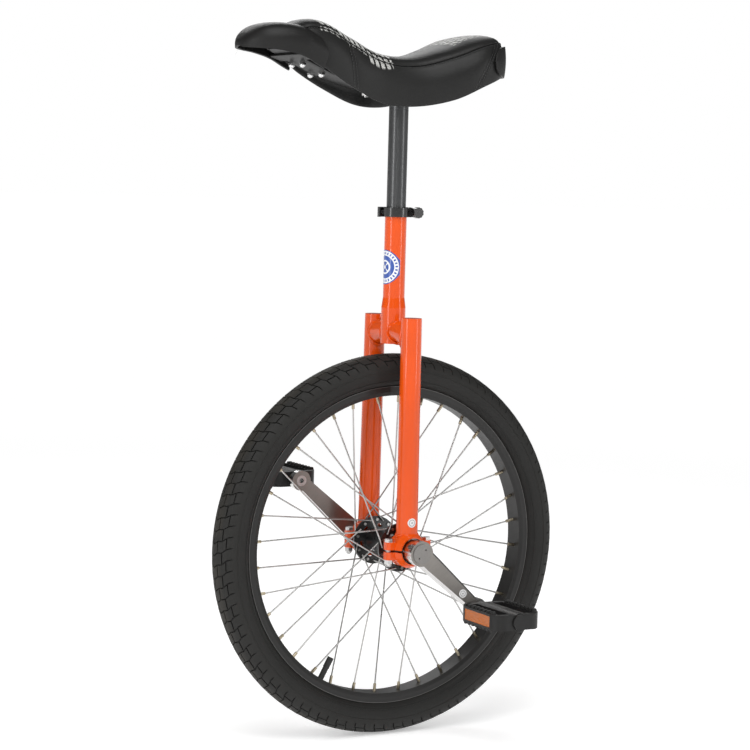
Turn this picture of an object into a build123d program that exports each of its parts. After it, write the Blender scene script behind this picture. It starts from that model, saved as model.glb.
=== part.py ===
from build123d import *
import os
from math import cos, pi, radians, sin, sqrt

# Unicycle with a 20 inch wheel, in millimetres.
# +X is forward (saddle handle end), +Y is the rider's left, +Z is up.
# The origin is the tyre's contact point with the ground, under the axle.

os.makedirs("parts", exist_ok=True)

# ---------------------------------------------------------------- driving dimensions
# Tyre, tube and rim (406 mm bead seat, 20 x 2.0 tyre)
tyre_half_width = 25.5
tyre_casing = 4.0
tyre_crown_extra = 1.0
tyre_foot_angle = 38.0
casing_foot_angle = 33.0
bead_seat_radius = 203.0
tyre_section_height = 49.5
bead_thickness = 3.7
bead_fit = 0.2
tube_section_radius = 17.0
tube_wall = 1.2
tube_fit = 0.5
rim_flange_height = 7.3
rim_flange_thickness = 2.1
rim_half_width = 16.0
rim_depth = 5.0
rim_inner_half_width = 13.8
rim_well_half_width = 8.0
rim_well_depth = 2.2
rim_tape_thickness = 0.8
rim_tape_lift = 2.4
rim_tape_fit = 0.5
spoke_count = 36
spoke_crossings = 3
spoke_phase = 3.6
spoke_diameter = 2.0
spoke_head_diameter = 3.8
spoke_head_height = 1.4
nipple_diameter = 4.0
nipple_length = 13.0
nipple_bore_fit = 0.05
nipple_hole_fit = 0.15
valve_angle = 298.6
valve_hole_diameter = 8.6
valve_stem_diameter = 7.6
valve_foot_diameter = 14.0
valve_reach = 30.0
valve_cap_diameter = 8.5
valve_cap_length = 14.0
valve_cap_wall = 1.0
valve_neck_diameter = 5.2
valve_cap_fit = 0.1

# Hub, axle and bearings (15 x 35 x 11 deep groove bearings)
flange_radius = 32.0
flange_thickness = 3.2
flange_offset = 33.5
spoke_circle_radius = 27.5
hub_barrel_radius = 15.0
hub_sleeve_radius = 11.0
hub_sleeve_end = 41.0
hub_window_count = 6
hub_window_radius = 20.5
hub_window_length = 8.0
hub_window_width = 4.6
axle_core_radius = 8.5
bearing_bore_radius = 7.5
bearing_outer_radius = 17.5
bearing_width = 11.0
bearing_offset = 54.0
race_thickness = 2.9
ball_count = 9
ball_fit = 0.1
cage_thickness = 1.2
spacer_radius = 10.0
axle_square = 12.7
axle_square_start = 67.0
axle_square_length = 16.0
crank_bolt_diameter = 8.0
crank_bolt_head_flats = 14.0
crank_bolt_head_height = 5.0

# Cranks and pedals
crank_length = 114.0
crank_angle = 41.8
crank_boss_radius = 15.0
crank_boss_start = 68.5
crank_boss_face = 92.5
crank_collar_radius = 16.5
crank_arm_start = 80.0
crank_eye_face = 97.0
crank_eye_radius = 13.5
crank_arm_thickness = 12.0
crank_root_half_width = 12.3
crank_neck_half_width = 8.8
crank_bevel = 2.4
dust_cap_radius = 12.8
dust_cap_flange = 1.6
dust_cap_thread_radius = 11.0
dust_cap_pin_spacing = 14.2
dust_cap_pin_diameter = 2.2
pedal_thread_radius = 7.1
spindle_root_radius = 6.3
spindle_tip_radius = 4.5
spindle_socket = 6.0
pedal_offset = 150.0
pedal_length = 93.0
pedal_depth = 70.0
pedal_rail_height = 20.0
pedal_rail_thickness = 8.5
pedal_corner_radius = 17.0
pedal_barrel_radius = 11.5
pedal_tooth_height = 3.2
pedal_tooth_pitch = 9.0
pedal_teeth_per_rail = 8
reflector_length = 60.0
reflector_height = 14.0
reflector_thickness = 3.6
reflector_fit = 0.1
bush_radius = 8.5
bush_length = 12.0
running_fit = 0.06
lock_nut_flats = 13.0
lock_nut_height = 6.0
pedal_cap_radius = 10.0
pedal_cap_thickness = 2.5

# Frame: neck tube, crown, fork legs and bearing holders
neck_wall = 1.5
neck_height = 175.0
post_fit = 0.05
neck_slot_width = 3.0
neck_slot_depth = 38.0
crown_tube_wall = 2.5
crown_clearance = 13.0
crown_tube_length = 47.0
crown_bore_fit = 0.8
swage_height = 13.0
bridge_rise = 16.5
bridge_radius = 14.0
bridge_flare = 4.5
leg_top_offset = 48.5
leg_foot_offset = 51.5
leg_top_rise = 36.0
leg_top_radius = 13.5
leg_foot_half_depth = 14.6
leg_foot_half_width = 13.0
leg_wall = 1.6
leg_plug_thickness = 2.5
holder_wall = 5.5
holder_inner_face = 42.0
holder_outer_face = 62.0
holder_lip_end = 70.0
holder_lip_wall = 1.3
holder_mouth_step = 0.4
holder_gap = 3.0
ear_length = 10.0
ear_thickness = 10.0
ear_inner_face = 46.5
ear_outer_face = 60.5
holder_bolt_stand_off = 5.0
holder_bolt_diameter = 6.0
holder_bolt_fit = 0.2
holder_bolt_flats = 10.0
holder_bolt_head = 4.0
holder_nut_flats = 10.0
holder_nut_height = 5.0
holder_nut_dome_radius = 4.6
neck_badge_radius = 22.5
neck_badge_rise = 40.0
small_badge_radius = 6.0
leg_badge_rise = 36.5
crank_badge_radius = 5.5
crank_badge_distance = 82.0
badge_thickness = 0.25

# Seat clamp with quick-release lever
collar_overlap = 9.5
collar_height = 12.0
collar_wall = 2.95
collar_fit = 0.1
clamp_ear_root = 0.75
clamp_ear_length = 16.0
clamp_ear_thickness = 5.0
clamp_ear_gap = 3.5
skewer_set = 10.5
skewer_diameter = 5.0
skewer_fit = 0.1
clamp_nut_radius = 7.25
clamp_nut_length = 9.0
clamp_washer_radius = 6.5
clamp_washer_thickness = 2.0
cam_radius = 6.0
cam_pin_diameter = 5.0
cam_pin_distance = 9.5
cam_fork_gap = 6.4
lever_height = 13.0
lever_thickness = 4.5
lever_stand_off = 2.5
lever_start_angle = 232.0
lever_sweep = 100.0
lever_window_back = 19.0
lever_window_length = 6.0
lever_window_height = 4.5

# Seat post and saddle
post_radius = 12.7
post_wall = 2.2
post_length = 250.0
bracket_length = 100.0
bracket_width = 50.0
bracket_thickness = 4.0
base_thickness = 3.0
bare_post_length = 155.5
base_pad_half_length = 55.0
saddle_bolt_x = 40.0
saddle_bolt_y = 17.0
saddle_bolt_diameter = 6.0
saddle_bolt_head_radius = 7.0
saddle_bolt_head_height = 2.5
saddle_nut_flats = 10.0
saddle_nut_height = 5.0
foot_share = 0.94
cushion_skirt = 4.0
cushion_fit = 0.3
hood_wall = 3.5
hood_fit = 0.6
hood_side_rear = 128.0
hood_top_rear = 172.0
handle_bolt_x = (119.0, 146.0)
handle_bolt_y = 15.0
handle_bolt_diameter = 5.0
handle_bolt_length = 10.0
handle_head_radius = 5.5
tongue_fit = 0.3
tongue_under = 6.5
tongue_rear = 108.0
tongue_wing_rear = 150.0
tongue_front = 166.0
tongue_half_width = 26.0
acorn_flats = 8.0
acorn_height = 4.5
acorn_dome_radius = 3.7
bumper_thickness = 3.5
bumper_rise = 23.5
bumper_height = 34.0

# ---------------------------------------------------------------- derived places
tyre_outer_radius = bead_seat_radius + tyre_section_height
rim_flange_radius = bead_seat_radius + rim_flange_height
rim_inner_radius = bead_seat_radius - rim_depth
valve_tip_radius = rim_inner_radius - valve_reach
well_radius = bead_seat_radius - rim_well_depth
axle_height = tyre_outer_radius
neck_bore_radius = post_radius + post_fit
neck_radius = neck_bore_radius + neck_wall
crown_tube_bore = post_radius + crown_bore_fit
crown_tube_radius = crown_tube_bore + crown_tube_wall
collar_radius = neck_radius + collar_wall
clamp_ear_start = neck_radius + clamp_ear_root
clamp_ear_end = clamp_ear_start + clamp_ear_length
skewer_distance = clamp_ear_start + skewer_set
holder_radius = bearing_outer_radius + holder_wall
holder_lip_radius = bearing_outer_radius + holder_lip_wall
holder_mouth_radius = bearing_outer_radius - holder_mouth_step
ear_reach = holder_radius + ear_length
holder_bolt_offset = holder_radius + holder_bolt_stand_off
crown_tube_bottom = 2 * tyre_outer_radius + crown_clearance
crown_tube_top = crown_tube_bottom + crown_tube_length
bridge_height = crown_tube_bottom + bridge_rise
leg_top = crown_tube_bottom + leg_top_rise
neck_top = crown_tube_bottom + neck_height
neck_slot_bottom = neck_top - neck_slot_depth
neck_badge_height = crown_tube_top + swage_height + neck_badge_rise
leg_badge_height = axle_height + leg_badge_rise
collar_bottom = neck_top - collar_overlap
base_pad_height = neck_top + bare_post_length
bumper_bottom = base_pad_height + bumper_rise
wheel_axis = Axis((0, 0, axle_height), (0, 1, 0))
wheel_section = Plane(origin=(0, 0, axle_height), x_dir=(0, 1, 0), z_dir=(1, 0, 0))
post_top = base_pad_height - bracket_thickness


def save(piece, name):
    """Label a finished piece and write its STEP file."""
    piece.part.label = name
    export_step(piece.part, f"parts/{name}.step")


def side_plane(y):
    """Plane across the rider's direction at y: local x is forward, local y is up."""
    return Plane.XZ.offset(-y)


def axle_plane(y):
    """Plane across the axle at y, centred on the axle, normal along +Y."""
    return Plane(origin=(0, y, axle_height), x_dir=(1, 0, 0), z_dir=(0, 1, 0))


def side_name(side):
    """Name ending of a rider's side: +1 is left, -1 is right."""
    return "left" if side > 0 else "right"


def wheel_point(radius, angle, y=0.0):
    """Point at a radius and angle (from forward, upwards) around the axle."""
    a = radians(angle)
    return Vector(radius * cos(a), y, axle_height + radius * sin(a))


def rod(start, end, radius, bore=0.0):
    """Round rod between two points, with an optional bore."""
    start, end = Vector(*start), Vector(*end)
    across = Plane(origin=start, z_dir=end - start)
    with BuildPart() as made:
        with BuildSketch(across):
            Circle(radius)
            if bore:
                Circle(bore, mode=Mode.SUBTRACT)
        extrude(amount=(end - start).length)
    return made.part


# ---------------------------------------------------------------- tyre, tube and rim
tyre_centre = tyre_outer_radius - tyre_half_width
inner_arc_centre = tyre_centre - tyre_crown_extra
inner_arc_radius = tyre_half_width - tyre_casing
bead_half = rim_half_width - rim_flange_thickness - 1.5
bead_bottom = bead_seat_radius + bead_fit
outer_sweep = 180 + 2 * tyre_foot_angle
inner_sweep = 180 + 2 * casing_foot_angle

with BuildPart() as tyre:
    with BuildSketch(wheel_section):
        with BuildLine():
            outer = CenterArc((0, tyre_centre), tyre_half_width, -tyre_foot_angle, outer_sweep)
            inner = CenterArc((0, inner_arc_centre), inner_arc_radius, -casing_foot_angle, inner_sweep)
            for side, end in ((1, 0), (-1, 1)):
                Polyline(
                    outer @ end,
                    (side * bead_half, (outer @ end).Y),
                    (side * bead_half, bead_bottom),
                    (side * (bead_half - bead_thickness), bead_bottom),
                    (side * (bead_half - bead_thickness), (inner @ end).Y),
                    inner @ end,
                )
        make_face()
    revolve(axis=wheel_axis)
save(tyre, "tyre")

tube_centre = inner_arc_centre + inner_arc_radius - tube_fit - tube_section_radius
with BuildPart() as inner_tube:
    with BuildSketch(wheel_section):
        with Locations((0, tube_centre)):
            Circle(tube_section_radius)
            Circle(tube_section_radius - tube_wall, mode=Mode.SUBTRACT)
    revolve(axis=wheel_axis)
save(inner_tube, "inner_tube")


# ---------------------------------------------------------------- spokes and nipples
per_flange = spoke_count // 2
flange_step = 360 / per_flange
lacing_turn = 2 * 360 / spoke_count * spoke_crossings
elbow_gap = flange_thickness / 2 + spoke_diameter / 2 + 0.15
rim_hole_shift = 1.5
flange_edge_run = 10.0


def spoke_run(side, lead):
    """Elbow, bend and rim ends of one spoke: lead spokes start outside the flange."""
    hub_angle = spoke_phase + (0 if side > 0 else flange_step / 2) + (0 if lead else flange_step)
    rim_angle = hub_angle + (lacing_turn if lead else -lacing_turn)
    out = (1 if lead else -1) * side
    elbow = wheel_point(spoke_circle_radius, hub_angle, side * flange_offset + out * elbow_gap)
    seat = wheel_point(rim_inner_radius, rim_angle, side * rim_hole_shift)
    flat = Vector(seat.X - elbow.X, 0, seat.Z - elbow.Z).normalized()
    bend = elbow + flat * (flange_edge_run if lead else 0.0)
    return elbow, bend, seat, out


def make_spoke(side, lead):
    """One spoke with its bend over the flange's edge, the pin through the flange and its head."""
    elbow, bend, seat, out = spoke_run(side, lead)
    head_y = side * flange_offset - out * (flange_thickness / 2 + 0.1)
    run = seat - bend
    tip = bend + run * ((run.length + 1.5) / run.length)
    with BuildPart() as made:
        add(rod(bend, tip, spoke_diameter / 2))
        if lead:
            add(rod(elbow, bend, spoke_diameter / 2))
        add(rod(elbow, (elbow.X, head_y, elbow.Z), spoke_diameter / 2))
        add(rod((elbow.X, head_y, elbow.Z), (elbow.X, head_y - out * spoke_head_height, elbow.Z),
                spoke_head_diameter / 2))
        with Locations((elbow.X, elbow.Y, elbow.Z), (bend.X, bend.Y, bend.Z)):
            Sphere(spoke_diameter / 2)
    return made.part


def make_nipple(side, lead, radius, bore):
    """One nipple on its spoke's line, from below the rim into the rim's well."""
    _, bend, seat, _ = spoke_run(side, lead)
    along = (seat - bend).normalized()
    top = seat + along * (well_radius - rim_inner_radius)
    return rod(top - along * nipple_length, top, radius, bore)


def around(shape, count):
    """Copies of a shape evenly spaced round the axle."""
    return [shape.rotate(wheel_axis, -360 / count * n) for n in range(count)]


kinds = [(side, lead) for side in (1, -1) for lead in (True, False)]
for side in (1, -1):
    with BuildPart() as spokes:
        for lead in (True, False):
            add(around(make_spoke(side, lead), per_flange // 2))
    save(spokes, f"spokes_{side_name(side)}")

with BuildPart() as spoke_nipples:
    for side, lead in kinds:
        nipple = make_nipple(side, lead, nipple_diameter / 2, spoke_diameter / 2 + nipple_bore_fit)
        add(around(nipple, per_flange // 2))
save(spoke_nipples, "spoke_nipples")

with BuildPart() as rim:
    with BuildSketch(wheel_section):
        with BuildLine():
            for side in (1, -1):
                Polyline(
                    (0, rim_inner_radius),
                    (side * rim_inner_half_width, rim_inner_radius),
                    (side * rim_half_width, bead_seat_radius),
                    (side * rim_half_width, rim_flange_radius),
                    (side * (rim_half_width - rim_flange_thickness), rim_flange_radius),
                    (side * (rim_half_width - rim_flange_thickness), bead_seat_radius),
                    (side * rim_well_half_width, bead_seat_radius),
                    (side * rim_well_half_width, well_radius),
                    (0, well_radius),
                )
        make_face()
    revolve(axis=wheel_axis)
    for side, lead in kinds:
        hole = make_nipple(side, lead, nipple_diameter / 2 + nipple_hole_fit, 0.0)
        add(around(hole, per_flange // 2), mode=Mode.SUBTRACT)
    valve_cut = rod(
        wheel_point(rim_inner_radius - 5, valve_angle),
        wheel_point(bead_seat_radius + 2, valve_angle),
        valve_hole_diameter / 2,
    )
    add(valve_cut, mode=Mode.SUBTRACT)
save(rim, "rim")

# ---------------------------------------------------------------- rim tape and valve
valve_root = tube_centre - tube_section_radius
tape_radius = well_radius + rim_tape_lift
with BuildPart() as rim_tape:
    with BuildSketch(wheel_section):
        with Locations((0, tape_radius)):
            Rectangle(2 * (rim_well_half_width - rim_tape_fit), rim_tape_thickness)
    revolve(axis=wheel_axis)
    add(rod(wheel_point(tape_radius + rim_tape_thickness, valve_angle),
            wheel_point(tape_radius - rim_tape_thickness, valve_angle), valve_hole_diameter / 2),
        mode=Mode.SUBTRACT)
save(rim_tape, "rim_tape")

cap_inner_end = valve_tip_radius - 1.0
with BuildPart() as valve_stem:
    add(rod(wheel_point(valve_root - 0.2, valve_angle), wheel_point(valve_root - 1.8, valve_angle),
            valve_foot_diameter / 2))
    add(rod(wheel_point(valve_root - 1.8, valve_angle),
            wheel_point(valve_tip_radius + valve_cap_length, valve_angle), valve_stem_diameter / 2))
    add(rod(wheel_point(valve_tip_radius + valve_cap_length, valve_angle),
            wheel_point(valve_tip_radius + 1.5, valve_angle), valve_neck_diameter / 2))
save(valve_stem, "valve_stem")

with BuildPart() as valve_cap:
    add(rod(wheel_point(valve_tip_radius + valve_cap_length - valve_cap_fit, valve_angle),
            wheel_point(cap_inner_end, valve_angle), valve_cap_diameter / 2))
    add(rod(wheel_point(valve_tip_radius + valve_cap_length + 1, valve_angle),
            wheel_point(valve_tip_radius + 1.5 - valve_cap_fit, valve_angle),
            valve_neck_diameter / 2 + valve_cap_fit), mode=Mode.SUBTRACT)
save(valve_cap, "valve_cap")


# ---------------------------------------------------------------- hub and axle
with BuildPart() as hub_shell:
    with BuildSketch(wheel_section):
        with BuildLine():
            flange_in = flange_offset - flange_thickness / 2
            flange_out = flange_offset + flange_thickness / 2
            Polyline(
                (-hub_sleeve_end, axle_core_radius),
                (-hub_sleeve_end, hub_sleeve_radius),
                (-flange_out, hub_sleeve_radius),
                (-flange_out, flange_radius),
                (-flange_in, flange_radius),
                (-flange_in, hub_barrel_radius),
                (flange_in, hub_barrel_radius),
                (flange_in, flange_radius),
                (flange_out, flange_radius),
                (flange_out, hub_sleeve_radius),
                (hub_sleeve_end, hub_sleeve_radius),
                (hub_sleeve_end, axle_core_radius),
                close=True,
            )
        make_face()
    revolve(axis=wheel_axis)
    for side in (1, -1):
        first = spoke_phase + (0 if side > 0 else flange_step / 2)
        hole = rod(wheel_point(spoke_circle_radius, first, side * (flange_in - 1)),
                   wheel_point(spoke_circle_radius, first, side * (flange_out + 1)),
                   spoke_diameter / 2 + 0.15)
        add(around(hole, per_flange), mode=Mode.SUBTRACT)
        with BuildSketch(axle_plane(side * (flange_in - 1) if side > 0 else -(flange_out + 1))):
            with PolarLocations(hub_window_radius, hub_window_count, start_angle=12):
                SlotOverall(hub_window_length, hub_window_width, rotation=90)
        extrude(amount=flange_thickness + 2, mode=Mode.SUBTRACT)
save(hub_shell, "hub_shell")

axle_square_end = axle_square_start + axle_square_length
with BuildPart() as axle:
    with BuildSketch(axle_plane(-hub_sleeve_end)):
        Circle(axle_core_radius)
    extrude(amount=2 * hub_sleeve_end)
    for side in (1, -1):
        add(rod((0, side * hub_sleeve_end, axle_height), (0, side * axle_square_start, axle_height),
                bearing_bore_radius))
        with BuildSketch(Plane(origin=(0, side * axle_square_start, axle_height),
                               x_dir=(cos(radians(crank_angle)), 0, sin(radians(crank_angle))),
                               z_dir=(0, side, 0))):
            Rectangle(axle_square, axle_square)
            Circle(bearing_bore_radius, mode=Mode.INTERSECT)
        extrude(amount=axle_square_length)
        add(rod((0, side * (axle_square_start - 10), axle_height),
                (0, side * (axle_square_end + 1), axle_height), crank_bolt_diameter / 2),
            mode=Mode.SUBTRACT)
save(axle, "axle")

bearing_start = bearing_offset - bearing_width / 2
bearing_end = bearing_offset + bearing_width / 2
inner_race_radius = bearing_bore_radius + race_thickness
outer_race_bore = bearing_outer_radius - race_thickness
ball_circle = (inner_race_radius + outer_race_bore) / 2
ball_radius = (outer_race_bore - inner_race_radius) / 2 + race_thickness * 0.35


def rings(name, spans, outer_radius, inner_radius, groove=None):
    """Rings round the axle on both sides, with an optional ball groove (radius of its track)."""
    with BuildPart() as made:
        with BuildSketch(wheel_section):
            for start, end in spans:
                middles = [(side * (start + end) / 2, 0) for side in (1, -1)]
                with Locations(*[(u, (outer_radius + inner_radius) / 2) for u, _ in middles]):
                    Rectangle(end - start, outer_radius - inner_radius)
                if groove:
                    with Locations(*[(u, groove) for u, _ in middles]):
                        Circle(ball_radius + ball_fit, mode=Mode.SUBTRACT)
        revolve(axis=wheel_axis)
    save(made, name)


spacer_spans = ((hub_sleeve_end, bearing_start), (bearing_end, axle_square_start))
race_span = ((bearing_start, bearing_end),)
rings("axle_spacers", spacer_spans, spacer_radius, bearing_bore_radius)
rings("bearing_inner_races", race_span, inner_race_radius, bearing_bore_radius, ball_circle)
rings("bearing_outer_races", race_span, bearing_outer_radius, outer_race_bore, ball_circle)

for side in (1, -1):
    ball_spots = [wheel_point(ball_circle, 360 / ball_count * n, side * bearing_offset)
                  for n in range(ball_count)]
    with BuildPart() as balls:
        with BuildSketch(axle_plane(side * bearing_offset - cage_thickness / 2)):
            Circle(outer_race_bore - 0.4)
            Circle(inner_race_radius + 0.4, mode=Mode.SUBTRACT)
        extrude(amount=cage_thickness)
        with Locations(*[tuple(spot) for spot in ball_spots]):
            Sphere(ball_radius + 0.05, mode=Mode.SUBTRACT)
        with Locations(*[tuple(spot) for spot in ball_spots]):
            Sphere(ball_radius)
    save(balls, f"bearing_balls_{side_name(side)}")


# ---------------------------------------------------------------- cranks and pedals
def crank_plane(side):
    """Plane of one crank: local x runs to the pedal, local z points outwards."""
    a = radians(crank_angle)
    return Plane(origin=(0, 0, axle_height), x_dir=(-side * cos(a), 0, -side * sin(a)),
                 z_dir=(0, side, 0))


def pedal_centre(side):
    """Centre of one pedal."""
    a = radians(crank_angle)
    return (-side * crank_length * cos(a), side * pedal_offset,
            axle_height - side * crank_length * sin(a))


eye_inner = crank_eye_face - crank_arm_thickness
bolt_seat = axle_square_end + 1.0
root_end = crank_boss_radius + 8.0
neck_end = crank_length - crank_eye_radius
crank_stations = (
    (0.0, crank_root_half_width, crank_arm_start, crank_boss_face),
    (root_end, crank_root_half_width, crank_arm_start, crank_boss_face),
    (neck_end, crank_neck_half_width, eye_inner, crank_eye_face),
    (crank_length, crank_neck_half_width, eye_inner, crank_eye_face),
)

for side in (1, -1):
    hand = side_name(side)
    base = crank_plane(side)

    with BuildPart() as crank:
        for place, half, inner_face, outer_face in crank_stations:
            with BuildSketch(Plane(origin=base.origin + base.x_dir * place, x_dir=base.y_dir,
                                   z_dir=base.x_dir)):
                with BuildLine():
                    Polyline(
                        (-half, inner_face),
                        (-half, outer_face - crank_bevel),
                        (crank_bevel - half, outer_face),
                        (half - crank_bevel, outer_face),
                        (half, outer_face - crank_bevel),
                        (half, inner_face),
                        close=True,
                    )
                make_face()
        loft(ruled=True)
        with BuildSketch(base.offset(eye_inner)):
            with Locations((crank_length, 0)):
                Circle(crank_eye_radius)
        extrude(amount=crank_arm_thickness - crank_bevel)
        with BuildSketch(base.offset(crank_eye_face - crank_bevel)):
            with Locations((crank_length, 0)):
                Circle(crank_eye_radius)
        extrude(amount=crank_bevel, taper=45)
        with BuildSketch(base.offset(crank_boss_start)):
            Circle(crank_boss_radius)
        extrude(amount=crank_arm_start - crank_boss_start + 2)
        with BuildSketch(base.offset(crank_arm_start + 3)):
            Circle(crank_collar_radius)
        extrude(amount=crank_boss_face - crank_arm_start - 3)
        with BuildSketch(base.offset(crank_boss_start)):
            Rectangle(axle_square + 2 * running_fit, axle_square + 2 * running_fit)
            Circle(bearing_bore_radius + running_fit, mode=Mode.INTERSECT)
        extrude(amount=bolt_seat - crank_boss_start, mode=Mode.SUBTRACT)
        with BuildSketch(base.offset(bolt_seat)):
            Circle(dust_cap_thread_radius)
        extrude(amount=crank_boss_face - bolt_seat, mode=Mode.SUBTRACT)
        with BuildSketch(base.offset(eye_inner)):
            with Locations((crank_length, 0)):
                Circle(pedal_thread_radius + running_fit)
        extrude(amount=crank_arm_thickness, mode=Mode.SUBTRACT)
    save(crank, f"crank_{hand}")

with BuildPart() as crank_bolts:
    for side in (1, -1):
        base = crank_plane(side)
        with BuildSketch(base.offset(bolt_seat)):
            RegularPolygon(crank_bolt_head_flats / 2, 6, major_radius=False)
        extrude(amount=crank_bolt_head_height)
        with BuildSketch(base.offset(axle_square_start - 6)):
            Circle(crank_bolt_diameter / 2 - running_fit)
        extrude(amount=bolt_seat - axle_square_start + 6)
save(crank_bolts, "crank_bolts")

with BuildPart() as dust_caps:
    for side in (1, -1):
        base = crank_plane(side)
        with BuildSketch(base.offset(crank_boss_face)):
            Circle(dust_cap_radius)
        extrude(amount=dust_cap_flange)
        with BuildSketch(base.offset(crank_boss_face - 2.5)):
            Circle(dust_cap_thread_radius - running_fit)
        extrude(amount=2.5)
        with BuildSketch(base.offset(crank_boss_face - 2.5)):
            with PolarLocations(dust_cap_pin_spacing / 2, 2, start_angle=90):
                Circle(dust_cap_pin_diameter / 2)
        extrude(amount=2.5 + dust_cap_flange, mode=Mode.SUBTRACT)
save(dust_caps, "dust_caps")

pedal_inner = pedal_offset - pedal_length / 2
pedal_outer = pedal_offset + pedal_length / 2
spindle_shoulder = pedal_inner - 1.5
spindle_end = pedal_outer - 8.0
bush_places = (pedal_inner + 3.0, pedal_outer - 26.0)
thrust_face = bush_places[1] + bush_length

for side in (1, -1):
    hand = side_name(side)
    x, y, z = pedal_centre(side)

    def at(distance, along=x, up=z, hand_side=side):
        """Point on this pedal's axis at a distance from the middle plane."""
        return (along, hand_side * distance, up)

    def across(distance, along=x, up=z, hand_side=side):
        """Plane across this pedal's axis, normal outwards, local y up or down."""
        return Plane(origin=(along, hand_side * distance, up), x_dir=(1, 0, 0),
                     z_dir=(0, hand_side, 0))

    with BuildPart() as spindle:
        add(rod(at(eye_inner), at(crank_eye_face), pedal_thread_radius))
        add(rod(at(crank_eye_face), at(spindle_shoulder), pedal_thread_radius + 1.6))
        add(rod(at(spindle_shoulder), at(bush_places[0] + bush_length + 6), spindle_root_radius))
        add(rod(at(bush_places[0] + bush_length + 6), at(spindle_end), spindle_tip_radius))
        with BuildSketch(across(eye_inner)):
            RegularPolygon(spindle_socket / 2, 6, major_radius=False)
        extrude(amount=7, mode=Mode.SUBTRACT)
    save(spindle, f"pedal_spindle_{hand}")

    with BuildPart() as pedal:
        with BuildSketch(Plane.XY.offset(z - pedal_rail_height / 2)):
            with Locations((x, y)):
                RectangleRounded(pedal_depth, pedal_length, pedal_corner_radius)
                with Locations((0, 0)):
                    Rectangle(pedal_depth - 2 * pedal_rail_thickness,
                              pedal_length - 2 * pedal_rail_thickness, mode=Mode.SUBTRACT)
                Rectangle(2 * pedal_barrel_radius, pedal_length - pedal_rail_thickness)
        extrude(amount=pedal_rail_height)
        add(rod(at(pedal_inner), at(pedal_outer), pedal_barrel_radius))
        for face in (1, -1):
            tooth_plane = Plane(origin=(x, y, z + face * pedal_rail_height / 2), x_dir=(0, 1, 0),
                                z_dir=(0, 0, face))
            with BuildSketch(tooth_plane):
                rail_middle = pedal_depth - pedal_rail_thickness
                with GridLocations(pedal_tooth_pitch, rail_middle, pedal_teeth_per_rail, 2):
                    Rectangle(pedal_tooth_pitch * 0.55, pedal_rail_thickness * 0.8)
            extrude(amount=pedal_tooth_height, taper=12)
        add(rod(at(pedal_inner - 1), at(pedal_outer + 1), spindle_root_radius + 0.6),
            mode=Mode.SUBTRACT)
        for start in bush_places:
            add(rod(at(start), at(start + bush_length), bush_radius), mode=Mode.SUBTRACT)
        add(rod(at(thrust_face), at(pedal_outer + 1), bush_radius), mode=Mode.SUBTRACT)
        add(rod(at(pedal_inner - 1), at(bush_places[0]), bush_radius + 0.8), mode=Mode.SUBTRACT)
        for front in (1, -1):
            with Locations((x + front * (pedal_depth - reflector_thickness) / 2, y, z)):
                Box(reflector_thickness, reflector_length + 2 * reflector_fit,
                    reflector_height + 2 * reflector_fit, mode=Mode.SUBTRACT)
    save(pedal, f"pedal_body_{hand}")

    with BuildPart() as reflectors:
        for front in (1, -1):
            inset = reflector_thickness / 2 + reflector_fit
            with Locations((x + front * (pedal_depth / 2 - inset), y, z)):
                Box(reflector_thickness - 0.4, reflector_length, reflector_height)
    save(reflectors, f"pedal_reflectors_{hand}")

    with BuildPart() as bushes:
        add(rod(at(bush_places[0]), at(bush_places[0] + bush_length), bush_radius,
                spindle_root_radius + running_fit))
        add(rod(at(bush_places[1]), at(thrust_face), bush_radius, spindle_tip_radius + running_fit))
    save(bushes, f"pedal_bushes_{hand}")

    with BuildPart() as pedal_cap:
        add(rod(at(pedal_outer), at(pedal_outer + pedal_cap_thickness), pedal_cap_radius))
        add(rod(at(pedal_outer - 4.0), at(pedal_outer), bush_radius, bush_radius - 1.5))
    save(pedal_cap, f"pedal_end_cap_{hand}")

with BuildPart() as pedal_lock_nuts:
    for side in (1, -1):
        x, y, z = pedal_centre(side)
        with BuildSketch(Plane(origin=(x, side * (thrust_face + 0.5), z), x_dir=(1, 0, 0),
                               z_dir=(0, side, 0))):
            RegularPolygon(lock_nut_flats / 2, 6, major_radius=False)
            Circle(spindle_tip_radius + running_fit / 2, mode=Mode.SUBTRACT)
        extrude(amount=lock_nut_height)
save(pedal_lock_nuts, "pedal_lock_nuts")

with BuildPart() as crank_badge:
    badge_base = crank_plane(1)
    badge_rise = (crank_eye_face - crank_boss_face) / (neck_end - root_end)
    badge_out = crank_boss_face + badge_rise * (crank_badge_distance - root_end)
    badge_x = Vector(1, 0, badge_rise).normalized()
    tilted = Plane(
        origin=badge_base.origin + badge_base.x_dir * crank_badge_distance + badge_base.z_dir * badge_out,
        x_dir=badge_base.x_dir * badge_x.X + badge_base.z_dir * badge_x.Z,
        z_dir=badge_base.z_dir * badge_x.X - badge_base.x_dir * badge_x.Z,
    )
    with BuildSketch(tilted):
        Circle(crank_badge_radius)
    extrude(amount=badge_thickness)
save(crank_badge, "crank_badge")

# ---------------------------------------------------------------- frame tubes
with BuildPart() as neck_tube:
    with BuildSketch(Plane.XZ):
        with BuildLine():
            Polyline(
                (crown_tube_bore, crown_tube_bottom),
                (crown_tube_radius, crown_tube_bottom),
                (crown_tube_radius, crown_tube_top),
                (neck_radius, crown_tube_top + swage_height),
                (neck_radius, neck_top),
                (neck_bore_radius, neck_top),
                (neck_bore_radius, crown_tube_top + swage_height),
                (crown_tube_bore, crown_tube_top),
                close=True,
            )
        make_face()
    revolve(axis=Axis.Z)
    with Locations((-neck_radius, 0, (neck_slot_bottom + neck_top + 10) / 2)):
        Box(neck_radius, neck_slot_width, neck_top + 10 - neck_slot_bottom, mode=Mode.SUBTRACT)
save(neck_tube, "seat_tube")

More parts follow.
